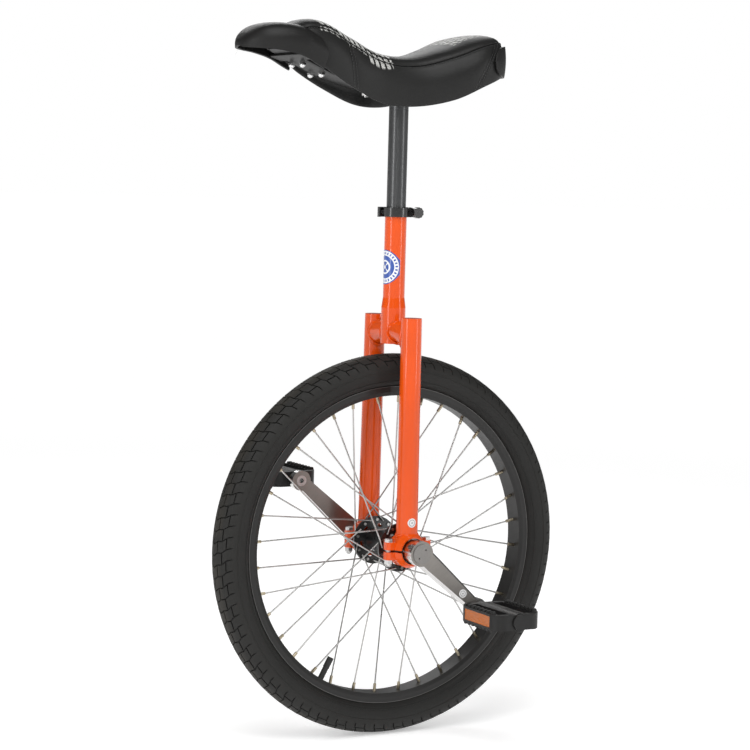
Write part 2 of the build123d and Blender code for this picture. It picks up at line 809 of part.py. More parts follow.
leg_foot = axle_height + sqrt(holder_radius ** 2 - leg_foot_half_depth ** 2) - 1.0


def leg_blank(side, extra=0.0):
    """Leg envelope from a round top to an oval foot, grown sideways by extra."""
    with BuildPart() as made:
        with BuildSketch(Plane.XY.offset(leg_foot)):
            with Locations((0, side * leg_foot_offset)):
                Ellipse(leg_foot_half_depth + extra, leg_foot_half_width + extra)
        with BuildSketch(Plane.XY.offset(leg_top)):
            with Locations((0, side * leg_top_offset)):
                Circle(leg_top_radius + extra)
        loft()
    return made.part


def holder_blank(side):
    """Turned envelope of the bearing holder with its rounded outer lip."""
    with BuildPart() as made:
        with BuildSketch(wheel_section):
            with BuildLine():
                Polyline(
                    (side * holder_inner_face, 0),
                    (side * holder_inner_face, holder_radius - 1.5),
                    (side * (holder_inner_face + 1.5), holder_radius),
                    (side * holder_outer_face, holder_radius),
                    (side * holder_lip_end, holder_lip_radius),
                    (side * holder_lip_end, 0),
                    close=True,
                )
            make_face()
        revolve(axis=wheel_axis)
    return made.part


def holder_hollow(side):
    """Space inside the holder: inner lip, bearing seat and open mouth."""
    with BuildPart() as made:
        add(rod((0, side * (holder_inner_face - 2), axle_height),
                (0, side * bearing_start, axle_height), bearing_outer_radius - 2.0))
        add(rod((0, side * bearing_start, axle_height), (0, side * bearing_end, axle_height),
                bearing_outer_radius))
        add(rod((0, side * bearing_end, axle_height), (0, side * (holder_lip_end + 2), axle_height),
                holder_mouth_radius))
    return made.part


for side in (1, -1):
    hand = side_name(side)
    blank = holder_blank(side)
    hollow = holder_hollow(side)
    ear_middle = side * (ear_inner_face + ear_outer_face) / 2
    ear_width = ear_outer_face - ear_inner_face

    for name, up in (("bearing_holder", 1), ("bearing_cap", -1)):
        with BuildPart() as holder:
            add(blank)
            ear_height = axle_height + up * (holder_gap / 2 + ear_thickness / 2)
            with Locations((0, ear_middle, ear_height)):
                Box(2 * ear_reach, ear_width, ear_thickness)
            half = axle_height + up * (holder_gap / 2 + 50)
            with Locations((0, side * leg_foot_offset, half)):
                Box(200, 80, 100, mode=Mode.INTERSECT)
            add(hollow, mode=Mode.SUBTRACT)
            for front in (1, -1):
                spot = (front * holder_bolt_offset, ear_middle, axle_height)
                with Locations(spot):
                    Cylinder(holder_bolt_diameter / 2 + holder_bolt_fit, 60, mode=Mode.SUBTRACT)
            ear_edges = holder.edges().filter_by(Axis.Z).filter_by(
                lambda edge: abs(edge.center().X) > ear_reach - 0.1)
            fillet(ear_edges, 4.5)
        save(holder, f"{name}_{hand}")

    with BuildPart() as leg:
        add(leg_blank(side))
        add(leg_blank(side, -leg_wall), mode=Mode.SUBTRACT)
        add(blank, mode=Mode.SUBTRACT)
    save(leg, f"fork_leg_{hand}")

    with BuildPart() as bridge:
        with BuildSketch(side_plane(side * 4)):
            with Locations((0, bridge_height)):
                Ellipse(bridge_radius - 1, bridge_radius)
        with BuildSketch(side_plane(side * (crown_tube_radius + 4))):
            with Locations((0, bridge_height)):
                Ellipse(bridge_radius - 1, bridge_radius)
        with BuildSketch(side_plane(side * (leg_top_offset - 2))):
            with Locations((0, bridge_height - bridge_flare)):
                Ellipse(leg_top_radius - 0.8, bridge_radius + bridge_flare)
        loft(ruled=True)
        with Locations((0, 0, bridge_height)):
            Cylinder(crown_tube_radius, 200, mode=Mode.SUBTRACT)
        add(leg_blank(side), mode=Mode.SUBTRACT)
    save(bridge, f"crown_bridge_{hand}")

plug_radius = leg_top_radius - leg_wall - 0.1
with BuildPart() as leg_top_plugs:
    with Locations(*[(0, side * leg_top_offset, leg_top - leg_plug_thickness / 2) for side in (1, -1)]):
        Cylinder(plug_radius, leg_plug_thickness)
save(leg_top_plugs, "leg_top_plugs")

ear_centre = (ear_inner_face + ear_outer_face) / 2
bolt_top = axle_height + holder_gap / 2 + ear_thickness
bolt_bottom = axle_height - holder_gap / 2 - ear_thickness
bolt_spots = [(fx * holder_bolt_offset, sy * ear_centre) for fx in (1, -1) for sy in (1, -1)]

with BuildPart() as holder_bolts:
    with BuildSketch(Plane.XY.offset(bolt_top)):
        with Locations(*bolt_spots):
            RegularPolygon(holder_bolt_flats / 2, 6, major_radius=False)
    extrude(amount=holder_bolt_head)
    with BuildSketch(Plane.XY.offset(bolt_bottom - holder_nut_height)):
        with Locations(*bolt_spots):
            Circle(holder_bolt_diameter / 2)
    extrude(amount=bolt_top - bolt_bottom + holder_nut_height)
save(holder_bolts, "holder_bolts")

with BuildPart() as holder_nuts:
    with BuildSketch(Plane.XY.offset(bolt_bottom - holder_nut_height)):
        with Locations(*bolt_spots):
            RegularPolygon(holder_nut_flats / 2, 6, major_radius=False)
    extrude(amount=holder_nut_height)
    with Locations(*[(sx, sy, bolt_bottom - holder_nut_height) for sx, sy in bolt_spots]):
        Sphere(holder_nut_dome_radius)
    with BuildSketch(Plane.XY.offset(bolt_bottom - holder_nut_height)):
        with Locations(*bolt_spots):
            Circle(holder_bolt_diameter / 2 + running_fit)
    extrude(amount=holder_nut_height, mode=Mode.SUBTRACT)
save(holder_nuts, "holder_nuts")

# ---------------------------------------------------------------- stickers
wrap = neck_radius + badge_thickness
badge_reach = min(neck_badge_radius * 0.999, wrap * pi / 2 * 0.97)
badge_steps = 24
badge_edge = []
for n in range(badge_steps + 1):
    along = badge_reach * cos(pi * n / badge_steps)
    badge_edge.append((wrap * sin(along / wrap), sqrt(neck_badge_radius ** 2 - along ** 2)))
with BuildPart() as neck_badge:
    with BuildSketch(Plane.XY.offset(neck_badge_height - neck_badge_radius)):
        Circle(wrap)
        Circle(neck_radius, mode=Mode.SUBTRACT)
    extrude(amount=2 * neck_badge_radius)
    with BuildSketch(Plane.YZ):
        with BuildLine():
            upper = [(u, neck_badge_height + v) for u, v in badge_edge]
            lower = [(u, neck_badge_height - v) for u, v in badge_edge]
            Spline(*upper)
            Spline(*lower)
            Line(upper[0], lower[0])
            Line(upper[-1], lower[-1])
        make_face()
    extrude(amount=2 * neck_radius, mode=Mode.INTERSECT)

with BuildPart() as leg_badge:
    add(leg_blank(1, badge_thickness))
    add(leg_blank(1), mode=Mode.SUBTRACT)
    with BuildSketch(side_plane(leg_foot_offset)):
        with Locations((0, leg_badge_height)):
            Circle(small_badge_radius)
    extrude(amount=-2 * leg_foot_half_depth, mode=Mode.INTERSECT)

with BuildPart() as frame_badges:
    add(neck_badge.part)
    add(leg_badge.part)
save(frame_badges, "frame_badges")

# ---------------------------------------------------------------- seat clamp
collar_top = collar_bottom + collar_height
ear_side = clamp_ear_gap / 2 + clamp_ear_thickness
collar_middle = (collar_bottom + collar_top) / 2

with BuildPart() as clamp_collar:
    with BuildSketch(Plane.XY.offset(collar_bottom)):
        Circle(collar_radius)
        with Locations((-(clamp_ear_start + clamp_ear_end) / 2, 0)):
            Rectangle(clamp_ear_end - clamp_ear_start, 2 * ear_side)
        Circle(neck_radius + collar_fit, mode=Mode.SUBTRACT)
        with Locations((-clamp_ear_end / 2 - neck_radius / 2, 0)):
            Rectangle(clamp_ear_end, clamp_ear_gap, mode=Mode.SUBTRACT)
    extrude(amount=collar_height)
    lip = clamp_collar.faces().sort_by(Axis.Z)[-1]
    fillet(lip.edges().filter_by(
        lambda edge: edge.center().X < -clamp_ear_end + 0.1), 1.0)
    with Locations((-skewer_distance, 0, collar_middle)):
        Cylinder(skewer_diameter / 2 + skewer_fit, 60, rotation=(90, 0, 0), mode=Mode.SUBTRACT)
save(clamp_collar, "clamp_collar")

cam_centre_y = -(ear_side + clamp_washer_thickness + cam_pin_distance - 2.0)
with BuildPart() as clamp_skewer:
    add(rod((-skewer_distance, cam_centre_y, collar_middle),
            (-skewer_distance, ear_side + clamp_nut_length - 1.5, collar_middle),
            skewer_diameter / 2))
    with Locations((-skewer_distance, cam_centre_y, collar_middle)):
        Cylinder(cam_radius - 1.8, cam_fork_gap - 0.4)
        Cylinder(cam_pin_diameter / 2 + running_fit, 20, mode=Mode.SUBTRACT)
save(clamp_skewer, "clamp_skewer")

with BuildPart() as clamp_washer:
    add(rod((-skewer_distance, -ear_side, collar_middle),
            (-skewer_distance, -ear_side - clamp_washer_thickness, collar_middle),
            clamp_washer_radius, skewer_diameter / 2 + skewer_fit))
save(clamp_washer, "clamp_washer")

with BuildPart() as clamp_nut:
    nut_plane = Plane(origin=(-skewer_distance, ear_side + 0.1, collar_middle), x_dir=(1, 0, 0),
                      z_dir=(0, 1, 0))
    with BuildSketch(nut_plane):
        Circle(clamp_nut_radius)
        with PolarLocations(clamp_nut_radius + 0.7, 10):
            Circle(1.3, mode=Mode.SUBTRACT)
    extrude(amount=clamp_nut_length)
    with BuildSketch(nut_plane):
        Circle(skewer_diameter / 2 + running_fit)
    extrude(amount=clamp_nut_length - 1.0, mode=Mode.SUBTRACT)
save(clamp_nut, "clamp_nut")

with BuildPart() as clamp_cam_pin:
    with Locations((-skewer_distance, cam_centre_y, collar_middle)):
        Cylinder(cam_pin_diameter / 2, lever_height - 0.4)
save(clamp_cam_pin, "clamp_cam_pin")

lever_inner_radius = collar_radius + lever_stand_off
lever_outer_radius = lever_inner_radius + lever_thickness
lever_middle_radius = (lever_inner_radius + lever_outer_radius) / 2
with BuildPart() as clamp_lever:
    with BuildSketch(Plane.XY.offset(collar_middle - lever_height / 2)):
        with Locations((-skewer_distance, cam_centre_y)):
            Circle(cam_radius)
        with BuildLine():
            arc = CenterArc((0, 0), lever_middle_radius, lever_start_angle, lever_sweep)
            Line((-skewer_distance, cam_centre_y - 2.0), arc @ 0)
        trace(line_width=lever_thickness)
        with Locations(arc @ 1):
            Circle(lever_thickness / 2)
        with Locations(arc @ 0):
            Circle(lever_thickness / 2)
    extrude(amount=lever_height)
    with Locations((-skewer_distance, cam_centre_y, collar_middle)):
        Cylinder(cam_pin_diameter / 2, lever_height + 2, mode=Mode.SUBTRACT)
    with Locations((-skewer_distance, cam_centre_y + cam_radius, collar_middle)):
        Box(4 * cam_radius, 4 * cam_radius, cam_fork_gap, mode=Mode.SUBTRACT)
    window = Plane(origin=(0, 0, collar_middle), x_dir=(1, 0, 0), z_dir=(0, 0, 1)).rotated(
        (0, 0, lever_start_angle + lever_sweep - lever_window_back))
    with BuildSketch(Plane(origin=window.origin, x_dir=window.y_dir, z_dir=window.x_dir)):
        Rectangle(lever_window_length, lever_window_height)
    extrude(amount=2 * lever_outer_radius, mode=Mode.SUBTRACT)
save(clamp_lever, "clamp_lever")

# ---------------------------------------------------------------- seat post and bracket
with BuildPart() as seat_post:
    with BuildSketch(Plane.XY.offset(post_top - post_length)):
        Circle(post_radius)
        Circle(post_radius - post_wall, mode=Mode.SUBTRACT)
    extrude(amount=post_length)
save(seat_post, "seat_post")

saddle_bolt_spots = [(fx * saddle_bolt_x, sy * saddle_bolt_y) for fx in (1, -1) for sy in (1, -1)]
with BuildPart() as seat_bracket:
    with BuildSketch(Plane.XY.offset(post_top)):
        RectangleRounded(bracket_length, bracket_width, 8)
        with Locations(*saddle_bolt_spots):
            Circle(saddle_bolt_diameter / 2 + holder_bolt_fit, mode=Mode.SUBTRACT)
    extrude(amount=bracket_thickness)
save(seat_bracket, "seat_bracket")

# ---------------------------------------------------------------- saddle
# Stations from tail to nose: place along x, half width, then the lower edge and the crown,
# both measured upwards from the base pad
saddle_stations = (
    (-133.0, 38.0, 23.5, 59.5),
    (-118.0, 70.0, 19.5, 75.5),
    (-85.0, 83.0, 6.5, 71.5),
    (-45.0, 73.0, -12.0, 56.0),
    (0.0, 54.0, -22.0, 42.5),
    (45.0, 46.0, -20.0, 45.5),
    (90.0, 47.0, -2.0, 64.5),
    (126.0, 49.0, 17.5, 80.5),
    (150.0, 46.0, 33.5, 81.5),
    (170.0, 38.0, 42.5, 71.5),
    (183.0, 28.0, 45.5, 63.5),
)
hood_stations = (
    (124.0, 52.5, 13.5, 63.5),
    (145.0, 53.5, 23.5, 70.5),
    (165.0, 53.0, 33.5, 75.5),
    (190.0, 48.0, 39.5, 76.5),
    (208.0, 38.0, 41.5, 72.0),
    (221.0, 24.0, 42.5, 62.5),
    (228.0, 11.0, 43.5, 53.5),
)


def saddle_loft(inset, lower_shift, crown_shift, stations=saddle_stations):
    """Saddle envelope through its stations, drawn in by inset."""
    with BuildPart() as made:
        for place, half_width, lower, crown in stations:
            w = half_width - inset
            low = base_pad_height + lower + lower_shift
            top = base_pad_height + crown + crown_shift
            tall = top - low
            with BuildSketch(Plane.YZ.offset(place)):
                with BuildLine():
                    Line((-w * foot_share, low), (w * foot_share, low))
                    for sy in (1, -1):
                        Spline(
                            (sy * w * foot_share, low),
                            (sy * w, low + tall * 0.5),
                            (sy * w * 0.84, low + tall * 0.82),
                            (0, top),
                            tangents=((0, 1), (-sy, 0)),
                        )
                make_face()
        loft(ruled=True)
    return made.part


base_line = (
    (-122.0, base_pad_height + 35.0),
    (-90.0, base_pad_height + 20.0),
    (-base_pad_half_length, base_pad_height + base_thickness),
    (base_pad_half_length, base_pad_height + base_thickness),
    (90.0, base_pad_height + 12.0),
    (112.0, base_pad_height + 21.0),
    (154.0, base_pad_height + 38.4),
    (176.0, base_pad_height + 46.0),
)


def base_band(lower, upper):
    """Band following the base line, from lower to upper above it, across the saddle."""
    tail, nose = base_line[0], base_line[-1]
    line = [(tail[0] - 40, tail[1] + 20)] + list(base_line) + [(nose[0] + 60, nose[1] + 20)]
    with BuildPart() as made:
        with BuildSketch(Plane.XZ):
            with BuildLine():
                Polyline(*[(px, pz + upper) for px, pz in line],
                         *[(px, pz + lower) for px, pz in reversed(line)], close=True)
            make_face()
        extrude(amount=110, both=True)
    return made.part


# Seats of the front handle's bolts: on the base's top, along its rising nose
nose_start, nose_end = base_line[5], base_line[6]
nose_slope = (nose_end[1] - nose_start[1]) / (nose_end[0] - nose_start[0])
nose_normal = Vector(-nose_slope, 0, 1).normalized()
handle_bolt_spots = [
    ((bx, nose_start[1] + nose_slope * (bx - nose_start[0])), by)
    for bx in handle_bolt_x for by in (handle_bolt_y, -handle_bolt_y)
]


def handle_tongue():
    """Plate under the base that carries the handle, reaching its side walls at the front."""
    with BuildPart() as made:
        with BuildSketch(Plane.XY.offset(base_pad_height)):
            with BuildLine():
                half, wide = tongue_half_width, 60.0
                Polyline((tongue_rear, -half), (tongue_wing_rear, -half), (tongue_wing_rear, -wide),
                         (tongue_front, -wide), (tongue_front, wide), (tongue_wing_rear, wide),
                         (tongue_wing_rear, half), (tongue_rear, half), close=True)
            make_face()
        extrude(amount=100)
        add(base_band(-tongue_under, -base_thickness - tongue_fit), mode=Mode.INTERSECT)
        add(saddle_loft(0.5, -12.0, 0.0, hood_stations), mode=Mode.INTERSECT)
    return made.part


def bumper_line(out):
    """Corners of the rear bumper's plan, pushed outwards by out."""
    half = [(-97.0 - out * 0.4, 84.0 + out), (-118.5 - out * 0.7, 72.0 + out * 0.7),
            (-133.0 - cushion_fit - out, 41.0 + out * 0.4)]
    return half + [(px, -py) for px, py in reversed(half)]


def saddle_plan(inset):
    """Upright block with the saddle's plan, drawn in by inset all round."""
    half = [(place, half_width * foot_share - inset) for place, half_width, _, _ in saddle_stations]
    half[0] = (half[0][0] + inset, half[0][1])
    half[-1] = (half[-1][0] - inset, half[-1][1])
    with BuildPart() as made:
        with BuildSketch(Plane.XY.offset(base_pad_height - 140)):
            with BuildLine():
                Polyline(*half, *[(px, -py) for px, py in reversed(half)], close=True)
            make_face()
        extrude(amount=260)
    return made.part


with BuildPart() as saddle_hollow:
    add(saddle_plan(cushion_skirt))
    add(base_band(-140.0, cushion_fit), mode=Mode.INTERSECT)

with BuildPart() as saddle_cushion:
    add(saddle_loft(0.0, 0.0, 0.0))
    add(saddle_hollow.part, mode=Mode.SUBTRACT)
    with Locations(*[(bx, by, base_pad_height + base_thickness) for bx, by in saddle_bolt_spots]):
        Cylinder(saddle_bolt_head_radius + cushion_fit, 2 * (saddle_bolt_head_height + cushion_fit),
                 mode=Mode.SUBTRACT)
    for (bx, bz), by in handle_bolt_spots:
        with Locations(Plane(origin=(bx, by, bz), z_dir=nose_normal)):
            Cylinder(handle_head_radius + cushion_fit, 2 * (saddle_bolt_head_height + cushion_fit),
                     mode=Mode.SUBTRACT)
save(saddle_cushion, "saddle_cushion")

with BuildPart() as saddle_base:
    add(saddle_plan(cushion_skirt + cushion_fit))
    add(base_band(-base_thickness, 0.0), mode=Mode.INTERSECT)
    with Locations(*[(bx, by, base_pad_height) for bx, by in saddle_bolt_spots]):
        Cylinder(saddle_bolt_diameter / 2 + holder_bolt_fit, 40, mode=Mode.SUBTRACT)
    for (bx, bz), by in handle_bolt_spots:
        with Locations(Plane(origin=(bx, by, bz), z_dir=nose_normal)):
            Cylinder(handle_bolt_diameter / 2 + holder_bolt_fit, 30, mode=Mode.SUBTRACT)
save(saddle_base, "saddle_base")

with BuildPart() as front_handle:
    add(saddle_loft(0.0, 0.0, 0.0, hood_stations))
    add(saddle_loft(hood_wall, -12.0, -hood_wall, hood_stations), mode=Mode.SUBTRACT)
    with BuildSketch(Plane.XY.offset(base_pad_height)):
        with BuildLine():
            ThreePointArc((hood_side_rear, -60), (hood_top_rear, 0), (hood_side_rear, 60))
            Polyline((hood_side_rear, 60), (100, 60), (100, -60), (hood_side_rear, -60))
        make_face()
    extrude(amount=120, mode=Mode.SUBTRACT)
    add(saddle_loft(-hood_fit, -hood_fit, hood_fit), mode=Mode.SUBTRACT)
    add(handle_tongue(), mode=Mode.ADD)
    for (bx, bz), by in handle_bolt_spots:
        with Locations(Plane(origin=(bx, by, bz), z_dir=nose_normal)):
            Cylinder(handle_bolt_diameter / 2 + holder_bolt_fit, 60, mode=Mode.SUBTRACT)
save(front_handle, "front_handle")

with BuildPart() as rear_bumper:
    with BuildSketch(Plane.XY.offset(bumper_bottom)):
        with BuildLine():
            Polyline(*bumper_line(0.0), *reversed(bumper_line(bumper_thickness)), close=True)
        make_face()
    extrude(amount=bumper_height)
    add(saddle_loft(-cushion_fit, -cushion_fit, cushion_fit), mode=Mode.SUBTRACT)
save(rear_bumper, "rear_bumper")

# ---------------------------------------------------------------- saddle fasteners
with BuildPart() as saddle_bolts:
    with BuildSketch(Plane.XY.offset(base_pad_height + base_thickness)):
        with Locations(*saddle_bolt_spots):
            Circle(saddle_bolt_head_radius)
    extrude(amount=saddle_bolt_head_height)
    with BuildSketch(Plane.XY.offset(post_top - saddle_nut_height - 2)):
        with Locations(*saddle_bolt_spots):
            Circle(saddle_bolt_diameter / 2)
    extrude(amount=base_pad_height + base_thickness - post_top + saddle_nut_height + 2)
    for (bx, bz), by in handle_bolt_spots:
        spot = Plane(origin=(bx, by, bz), z_dir=nose_normal)
        with BuildSketch(spot):
            Circle(handle_head_radius)
        extrude(amount=saddle_bolt_head_height)
        with BuildSketch(spot.offset(-handle_bolt_length)):
            Circle(handle_bolt_diameter / 2)
        extrude(amount=handle_bolt_length)
save(saddle_bolts, "saddle_bolts")

with BuildPart() as saddle_nuts:
    with BuildSketch(Plane.XY.offset(post_top - saddle_nut_height)):
        with Locations(*saddle_bolt_spots):
            RegularPolygon(saddle_nut_flats / 2, 6, major_radius=False)
        with Locations(*saddle_bolt_spots):
            Circle(saddle_bolt_diameter / 2 + running_fit, mode=Mode.SUBTRACT)
    extrude(amount=saddle_nut_height)
save(saddle_nuts, "saddle_nuts")

with BuildPart() as handle_nuts:
    for (bx, bz), by in handle_bolt_spots:
        under = Plane(origin=(bx, by, bz), z_dir=nose_normal).offset(-tongue_under)
        with BuildSketch(under.offset(-acorn_height)):
            RegularPolygon(acorn_flats / 2, 6, major_radius=False)
        extrude(amount=acorn_height)
        with Locations(under.offset(-acorn_height)):
            Sphere(acorn_dome_radius)
        with BuildSketch(under.offset(-acorn_height)):
            Circle(handle_bolt_diameter / 2 + running_fit)
        extrude(amount=acorn_height, mode=Mode.SUBTRACT)
save(handle_nuts, "handle_nuts")
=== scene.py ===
from math import cos, pi, radians, sin, sqrt

import bmesh
import bpy
from mathutils import Matrix, Vector, noise


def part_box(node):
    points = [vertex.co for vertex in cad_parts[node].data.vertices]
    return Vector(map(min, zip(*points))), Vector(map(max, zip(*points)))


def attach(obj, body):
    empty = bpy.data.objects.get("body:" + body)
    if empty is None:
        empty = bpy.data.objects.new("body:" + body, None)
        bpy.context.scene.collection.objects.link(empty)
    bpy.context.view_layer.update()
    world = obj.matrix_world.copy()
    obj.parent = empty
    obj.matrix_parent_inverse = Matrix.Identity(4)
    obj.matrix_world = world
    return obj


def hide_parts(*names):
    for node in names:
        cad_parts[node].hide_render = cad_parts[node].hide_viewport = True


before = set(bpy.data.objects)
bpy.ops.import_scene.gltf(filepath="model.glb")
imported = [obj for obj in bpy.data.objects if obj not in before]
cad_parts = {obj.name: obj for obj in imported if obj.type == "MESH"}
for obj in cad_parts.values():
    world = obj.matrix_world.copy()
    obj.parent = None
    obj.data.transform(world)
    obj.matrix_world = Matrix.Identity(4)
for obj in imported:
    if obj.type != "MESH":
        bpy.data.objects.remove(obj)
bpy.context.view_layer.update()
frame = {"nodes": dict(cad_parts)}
NODES = frame["nodes"]
MM = 0.001
AXLE = Vector((0.0, 0.0, (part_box("tyre")[0].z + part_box("tyre")[1].z) / 2))

bl_info = {
    "name": "Unicycle",
    "version": (1, 0, 0),
    "blender": (4, 5, 0),
    "location": "3D View > Sidebar > Unicycle",
    "description": "Builds the unicycle's tyre, frame welds, saddle and finishes round its frame",
    "category": "Object",
}


# ------------------------------------------------------------------ shader helpers
class Num:
    """A number in a shader. Arithmetic on it adds Math nodes."""

    def __init__(self, shade, socket):
        self.shade, self.socket = shade, socket

    def __add__(self, other):
        return self.shade.calc("ADD", self, other)

    def __sub__(self, other):
        return self.shade.calc("SUBTRACT", self, other)

    def __rsub__(self, other):
        return self.shade.calc("SUBTRACT", other, self)

    def __mul__(self, other):
        return self.shade.calc("MULTIPLY", self, other)

    def __truediv__(self, other):
        return self.shade.calc("DIVIDE", self, other)

    def __pow__(self, other):
        return self.shade.calc("POWER", self, other)

    __radd__ = __add__
    __rmul__ = __mul__

    def above(self, level, soft):
        """0 below the level and 1 above it, over a soft edge."""
        return self.shade.step(self, level - soft / 2, level + soft / 2)

    def within(self, low, high, soft):
        """1 between two levels and 0 outside them."""
        return self.above(low, soft) - self.above(high, soft)


class Shade:
    """One material and its node tree, round a Principled shader."""

    def __init__(self, name, colour=None, **constants):
        self.material = bpy.data.materials.new(name)
        self.material.use_nodes = True
        self.nodes = self.material.node_tree.nodes
        self.links = self.material.node_tree.links
        self.skin = self.nodes["Principled BSDF"]
        if colour is not None:
            self.set("Base Color", colour)
        for key, value in constants.items():
            self.set(key.replace("_", " ").title().replace("Ior", "IOR"), value)

    def feed(self, socket, value):
        if isinstance(value, Num):
            self.links.new(value.socket, socket)
        elif isinstance(value, bpy.types.NodeSocket):
            self.links.new(value, socket)
        elif hasattr(value, "__len__") and socket.type == "RGBA" and len(value) == 3:
            socket.default_value = (*value, 1.0)
        else:
            socket.default_value = value

    def node(self, kind, settings=None, inputs=()):
        """A node of a type, with its settings, then the values or links of its sockets."""
        made = self.nodes.new(kind)
        for key, value in (settings or {}).items():
            setattr(made, key, value)
        pairs = inputs.items() if isinstance(inputs, dict) else enumerate(inputs)
        for key, value in pairs:
            self.feed(made.inputs[key], value)
        return made

    def calc(self, operation, *values):
        return Num(self, self.node("ShaderNodeMath", {"operation": operation}, values).outputs[0])

    def step(self, value, low, high):
        made = self.node("ShaderNodeMapRange", {"interpolation_type": "SMOOTHSTEP"},
                         {0: value, 1: low, 2: high, 3: 0.0, 4: 1.0})
        return Num(self, made.outputs[0])

    def set(self, socket, value):
        self.feed(self.skin.inputs[socket], value)

    def place(self, centre=(0, 0, 0)):
        """Object coordinates measured from a centre, as a vector and its three numbers."""
        where = self.node("ShaderNodeTexCoord").outputs["Object"]
        moved = self.node("ShaderNodeMapping", {}, {"Vector": where, "Location": [-c for c in centre]})
        split = self.node("ShaderNodeSeparateXYZ", {}, [moved.outputs[0]])
        return moved.outputs[0], *[Num(self, split.outputs[i]) for i in range(3)]

    def facing(self):
        """The three numbers of the surface's direction in the piece's own space."""
        where = self.node("ShaderNodeTexCoord").outputs["Normal"]
        split = self.node("ShaderNodeSeparateXYZ", {}, [where])
        return [Num(self, split.outputs[i]) for i in range(3)]

    def stretch(self, vector, scale):
        made = self.node("ShaderNodeVectorMath", {"operation": "MULTIPLY"}, [vector, scale])
        return made.outputs[0]

    def noise(self, vector, scale, detail=3.0, roughness=0.55):
        made = self.node("ShaderNodeTexNoise", {}, {"Vector": vector, "Scale": scale,
                                                    "Detail": detail, "Roughness": roughness})
        return Num(self, made.outputs[0])

    def cells(self, vector, scale, feature="F1"):
        made = self.node("ShaderNodeTexVoronoi", {"feature": feature}, {"Vector": vector, "Scale": scale})
        return Num(self, made.outputs["Distance"])

    def mix(self, factor, first, second):
        made = self.node("ShaderNodeMix", {"data_type": "RGBA"}, {0: factor, 6: first, 7: second})
        return made.outputs[2]

    def blend(self, factor, first, second):
        """Number between two numbers."""
        return first + factor * (second - first)

    def bump(self, height, depth, strength=1.0):
        made = self.node("ShaderNodeBump", {}, {"Height": height, "Distance": depth,
                                                "Strength": strength})
        self.set("Normal", made.outputs[0])


def grey(level, warm=0.0):
    return (level * (1 + warm), level, level * (1 - warm))


# ------------------------------------------------------------------ finishes
FINISHES = {}


def finish_named(name):
    """The finish of that name, made the first time it is asked for."""
    if name not in FINISHES:
        FINISHES[name] = FINISH_MAKERS[name]().material
    return FINISHES[name]


def orange_enamel():
    look = bpy.context.scene.unicycle_colours
    s = Shade("orange_enamel", coat_weight=0.5, coat_roughness=0.05, specular_ior_level=0.2)
    where, *_ = s.place()
    cloud = s.noise(where, 9.0, 2.0)
    deep = [c * 0.86 for c in look.frame]
    s.set("Base Color", s.mix(cloud.above(0.5, 0.6), look.frame, deep))
    s.bump(s.noise(where, 900.0, 2.0), 0.00012, 0.35)
    s.set("Roughness", 0.19 + cloud * 0.09)
    return s


def black_enamel():
    s = Shade("black_enamel", coat_weight=0.6, coat_roughness=0.08)
    where, *_ = s.place()
    dust = s.noise(where, 240.0, 3.0)
    s.set("Base Color", s.mix(dust.above(0.62, 0.2), grey(0.008), grey(0.018, 0.03)))
    s.set("Roughness", 0.22 + dust * 0.16)
    s.bump(dust, 0.0001, 0.3)
    return s


def tyre_rubber():
    look = bpy.context.scene.unicycle_colours
    s = Shade("tyre_rubber", specular_ior_level=0.3)
    where, x, y, z = s.place(AXLE)
    radius = s.calc("SQRT", x * x + z * z)
    grain = s.noise(where, 620.0, 4.0, 0.7)
    patch = s.noise(where, 26.0, 3.0)
    worn = radius.above(0.2495, 0.004) * patch.above(0.42, 0.3)
    dust = s.mix(worn * 0.55, look.tyre, [c * f for c, f in zip(look.tyre, (2.2, 2.0, 1.7))])
    band = radius.within(0.2125, 0.2285, 0.002)
    side = s.mix(band * 0.5, dust, [c * 0.55 for c in look.tyre])
    s.set("Base Color", s.mix(grain.above(0.6, 0.3) * 0.35, side, [c * 1.8 for c in look.tyre]))
    s.set("Roughness", 0.56 + patch * 0.16 + band * -0.06)
    rings = s.calc("SINE", radius * 6800.0) * radius.within(0.2145, 0.2275, 0.001)
    s.bump(grain + rings * 0.25, 0.00035, 0.55)
    return s


def tube_rubber():
    s = Shade("tube_rubber", specular_ior_level=0.45)
    where, x, y, z = s.place(AXLE)
    grain = s.noise(where, 700.0, 3.0)
    ribs = s.calc("SINE", s.calc("SQRT", x * x + z * z) * 5200.0)
    s.set("Base Color", s.mix(grain, grey(0.014), grey(0.03)))
    s.set("Roughness", 0.4 + grain * 0.2)
    s.bump(grain * 0.4 + ribs * 0.3, 0.0003, 0.5)
    return s


def tape_plastic():
    s = Shade("tape_plastic")
    where, x, y, z = s.place(AXLE)
    weave = s.calc("SINE", y * 5200.0) * s.calc("SINE", x * 4200.0)
    s.set("Base Color", s.mix(weave.above(0.1, 0.6), (0.45, 0.05, 0.04), (0.6, 0.1, 0.07)))
    s.set("Roughness", 0.55 + weave * 0.05)
    s.bump(weave, 0.0001, 0.4)
    return s


def rim_anodised():
    s = Shade("rim_anodised", metallic=0.35, specular_ior_level=0.4)
    where, x, y, z = s.place(AXLE)
    radius = s.calc("SQRT", x * x + z * z)
    turned = s.noise(
        s.node("ShaderNodeCombineXYZ", {}, [radius * 4.0, y * 4.0, 0.0]).outputs[0], 520.0, 3.0)
    cloud = s.noise(where, 30.0, 3.0)
    # painted highlight: a thin lighter grey line round the outer edge of the rim's flange
    painted_edge_highlight = radius.above(0.2097, 0.0006)
    black = s.mix(turned, grey(0.012, 0.02), grey(0.032, 0.03))
    s.set("Base Color", s.mix(painted_edge_highlight * 0.7, black, grey(0.16, 0.03)))
    s.set("Roughness", 0.3 + cloud * 0.14 + turned * 0.08)
    s.bump(turned, 0.00008, 0.35)
    return s


